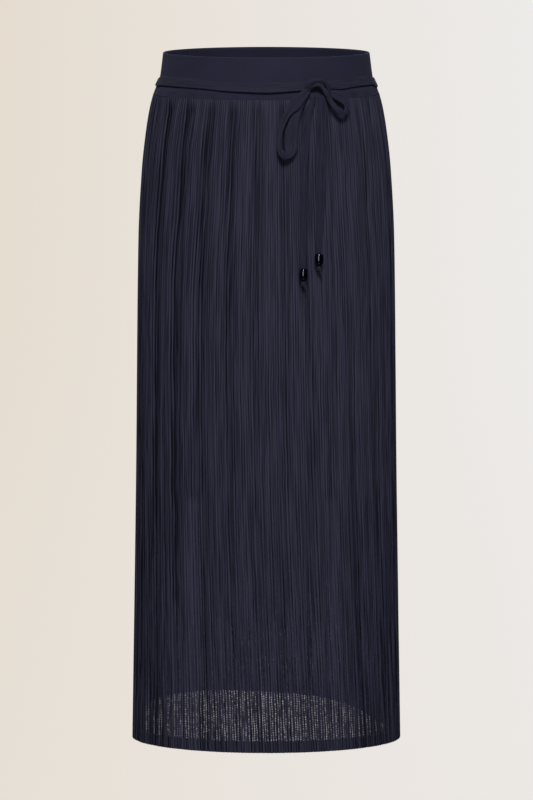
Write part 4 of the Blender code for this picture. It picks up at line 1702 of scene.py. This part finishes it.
@dataclass
class Tie:
    """The tie: its belt, knot, loops and tails, with the beads and the knots that stop them."""

    finish: Material
    plastic: Material

    def build(self) -> list[Object]:
        """Builds every piece of the tie, and the beads on its tails.

        Returns:
            The pieces.
        """
        pieces = [self._piece("tie_belt", TieBelt().mesh()), self._knot()]
        for side, route in LOOP_ROUTES.items():
            name = f"tie_loop_{side}"
            stretch = TieStretch(name, route, half_thickness=0.0015, sides=44, creases=LOOP_CREASES[side])
            pieces.append(self._piece(name, stretch.mesh()))
        for side, route in TAIL_ROUTES.items():
            pieces += self._tail(side, route)
        return pieces

    def _piece(self, name: str, mesh: Mesh) -> Object:
        """Makes a mesh a piece of the tie."""
        return place(name, mesh, Slot.TIE, self.finish)

    def _knot(self) -> Object:
        """Lays the strand that wraps over the knot, and the one that runs through it.

        Returns:
            The knot, as one piece.
        """
        arch = TieStretch("knot_arch", ARCH_ROUTE, half_thickness=0.0023, hollow=0.0).mesh()
        strand = TieStretch("knot_strand", STRAND_ROUTE, half_thickness=0.0017, hollow=0.1).mesh()
        return self._piece("tie_knot", joined("tie_knot_cloth", [arch, strand]))

    def _tail(self, side: str, route: tuple[TiePoint, ...]) -> list[Object]:
        """Hangs a tail, its bead and its end knot.

        Args:
            side: 'left' or 'right'.
            route: The tail's route, whose last point but one is the top of the bead.

        Returns:
            The tail, the bead and the knot.
        """
        name = f"tie_tail_{side}"
        pressed = {"half_thickness": 0.0012, "sides": 60, "hollow": 0.25}
        stretch = TieStretch(name, route, creases=TAIL_CREASES[side], **pressed)
        line = stretch.line()
        last = route[-2]
        bead_top = WHOLE_FORM.on_front(*(np.array(value) for value in (last.x, last.z, last.lift)))
        bead = Bead(side, bead_top).build(self.plastic)
        knot_top = bead_top - np.array([0.0, 0.0, BEAD_HEIGHT + 2 * SEAM_GAP])
        knot = self._piece(f"end_knot_{side}", EndKnot(side, knot_top).mesh())
        tail = self._piece(name, stretch.mesh())
        return [tail, bead, knot]


# ---- studio -----------------------------------------------------------------
@dataclass(frozen=True)
class Lamp:
    """A softbox aimed at the skirt."""

    name: str
    azimuth_deg: float  # round from the front, growing towards the right
    elevation_deg: float
    distance: float
    width: float
    height: float
    watts: float


@dataclass
class Studio:
    """Pale seamless backdrop, soft lamps and the camera."""

    target: tuple[float, float, float] = (0.0002, 0.0, -0.4281)
    camera_distance: float = 9.2
    camera_elevation_deg: float = 7.0
    sensor_height: float = 24.0  # millimetres
    frame_height_in_focals: float = 800 / 7050
    floor_z: float = -1.7
    wall_radius: float = 14.0
    wall_height: float = 9.0
    cove: float = 3.0
    cove_rows: int = 12
    columns: int = 96
    hole: float = 0.01  # in the middle of the floor, under the skirt
    air: str = "#E6E8F0"
    air_strength: float = 0.155
    lamps: tuple[Lamp, ...] = rows_of(
        Lamp,
        ("Key", 3.0, 48.0, 7.0, 2.4, 1.7, 360.0),
        ("Front fill", -8.0, 3.0, 6.0, 2.0, 2.0, 29.0),
        ("Floor bounce", 0.0, -35.0, 3.2, 2.6, 1.4, 3.2),
        ("Left rim", -125.0, 40.0, 3.4, 1.0, 1.6, 18.0),
        ("Right rim", 125.0, 40.0, 3.4, 1.0, 1.6, 5.0),
        ("Back", 176.0, 24.0, 6.5, 2.2, 1.8, 150.0),
    )

    def build(self) -> None:
        """Sets up the backdrop, the lamps, the camera and the view."""
        self._backdrop()
        for lamp in self.lamps:
            self._lamp(lamp)
        self._camera()
        scene = bpy.context.scene
        scene.view_settings.view_transform = "Standard"
        world = bpy.data.worlds.new("Studio air")
        scene.world = world
        world.use_nodes = True
        world.node_tree.nodes.clear()
        add = partial(add_node, world.node_tree)
        add("ShaderNodeOutputWorld", add("ShaderNodeBackground", linear(self.air), self.air_strength))
        world.cycles_visibility.glossy = False

    def _aimed(self, name: str, data: bpy.types.ID, bearing: tuple[float, float], distance: float) -> Object:
        """Stands a lamp or the camera where it is seen from the target, facing it.

        Args:
            name: The object's name.
            data: The lamp's or the camera's data.
            bearing: Its azimuth and elevation, in degrees.
            distance: How far from the target it stands.

        Returns:
            The object.
        """
        azimuth, elevation = (math.radians(angle) for angle in bearing)
        level, target = distance * math.cos(elevation), Vector(self.target)
        result = new_object(name, data)
        result.location = target + Vector(
            (level * math.sin(azimuth), -level * math.cos(azimuth), distance * math.sin(elevation))
        )
        result.rotation_euler = (target - result.location).to_track_quat("-Z", "Y").to_euler()
        return result

    def _camera(self) -> None:
        """Puts the camera a little above the skirt's middle, looking slightly down."""
        data = bpy.data.cameras.new("Camera")
        data.sensor_fit = "VERTICAL"
        data.sensor_height = self.sensor_height
        data.lens = self.sensor_height / self.frame_height_in_focals
        data.clip_end = 100.0
        bearing = (0.0, self.camera_elevation_deg)
        bpy.context.scene.camera = self._aimed("Camera", data, bearing, self.camera_distance)

    def _lamp(self, lamp: Lamp) -> None:
        """Hangs one softbox.

        Args:
            lamp: Its place, size and power.
        """
        data = bpy.data.lights.new(lamp.name, "AREA")
        data.shape = "RECTANGLE"
        data.size, data.size_y = lamp.width, lamp.height
        data.energy = lamp.watts
        self._aimed(lamp.name, data, (lamp.azimuth_deg, lamp.elevation_deg), lamp.distance)

    def _backdrop(self) -> None:
        """A round studio wall that sweeps into the floor, glowing evenly."""
        curve = np.linspace(0.0, math.pi / 2, self.cove_rows)
        inner = self.wall_radius - self.cove
        sweep = inner + self.cove * np.sin(curve)
        radius = np.concatenate([[self.hole, inner / 2], sweep, [self.wall_radius]])
        rise = np.concatenate([[0.0, 0.0], self.cove * (1.0 - np.cos(curve)), [self.wall_height]])
        height = rise + self.floor_z
        turn = np.linspace(0.0, 2 * math.pi, self.columns + 1)
        mesh = skin("studio_backdrop", revolved(radius, height, turn), turn, height)
        mesh.materials.append(Paper().build())
        backdrop = new_object("studio_backdrop", mesh)
        backdrop.visible_diffuse = False
        backdrop.visible_glossy = False
        backdrop.visible_shadow = False


# ---- assembly ---------------------------------------------------------------
def main() -> None:
    logging.basicConfig(level=logging.INFO, format="%(name)s: %(message)s")
    Studio().build()
    jersey = Jersey("Navy viscose jersey").build()
    # the tie's jersey carries painted shade and light along its ripples
    tie_jersey = Jersey("Navy viscose jersey rouleau", "#242438", wale=0.0009, ripple=0.55).build()
    plisse, plastic, thread = (finish().build() for finish in (Plisse, MouldedPlastic, Thread))
    pleats, stitches = PleatTree(), StitchTree()
    panels = [PleatedPanel(side, seed).build(pleats, plisse) for side, seed in zip(Side, (3, 11))]
    hems = [HemStitches(panel, seed).build(stitches, thread) for panel, seed in zip(panels, (5, 6))]
    waistband = [Waistband(side).build(jersey) for side in Side]
    for piece in [*waistband, *panels, *hems, *Tie(tie_jersey, plastic).build()]:
        log.info("%s: %d faces", piece.name, len(piece.data.polygons))


if __name__ == "__main__":
    main()
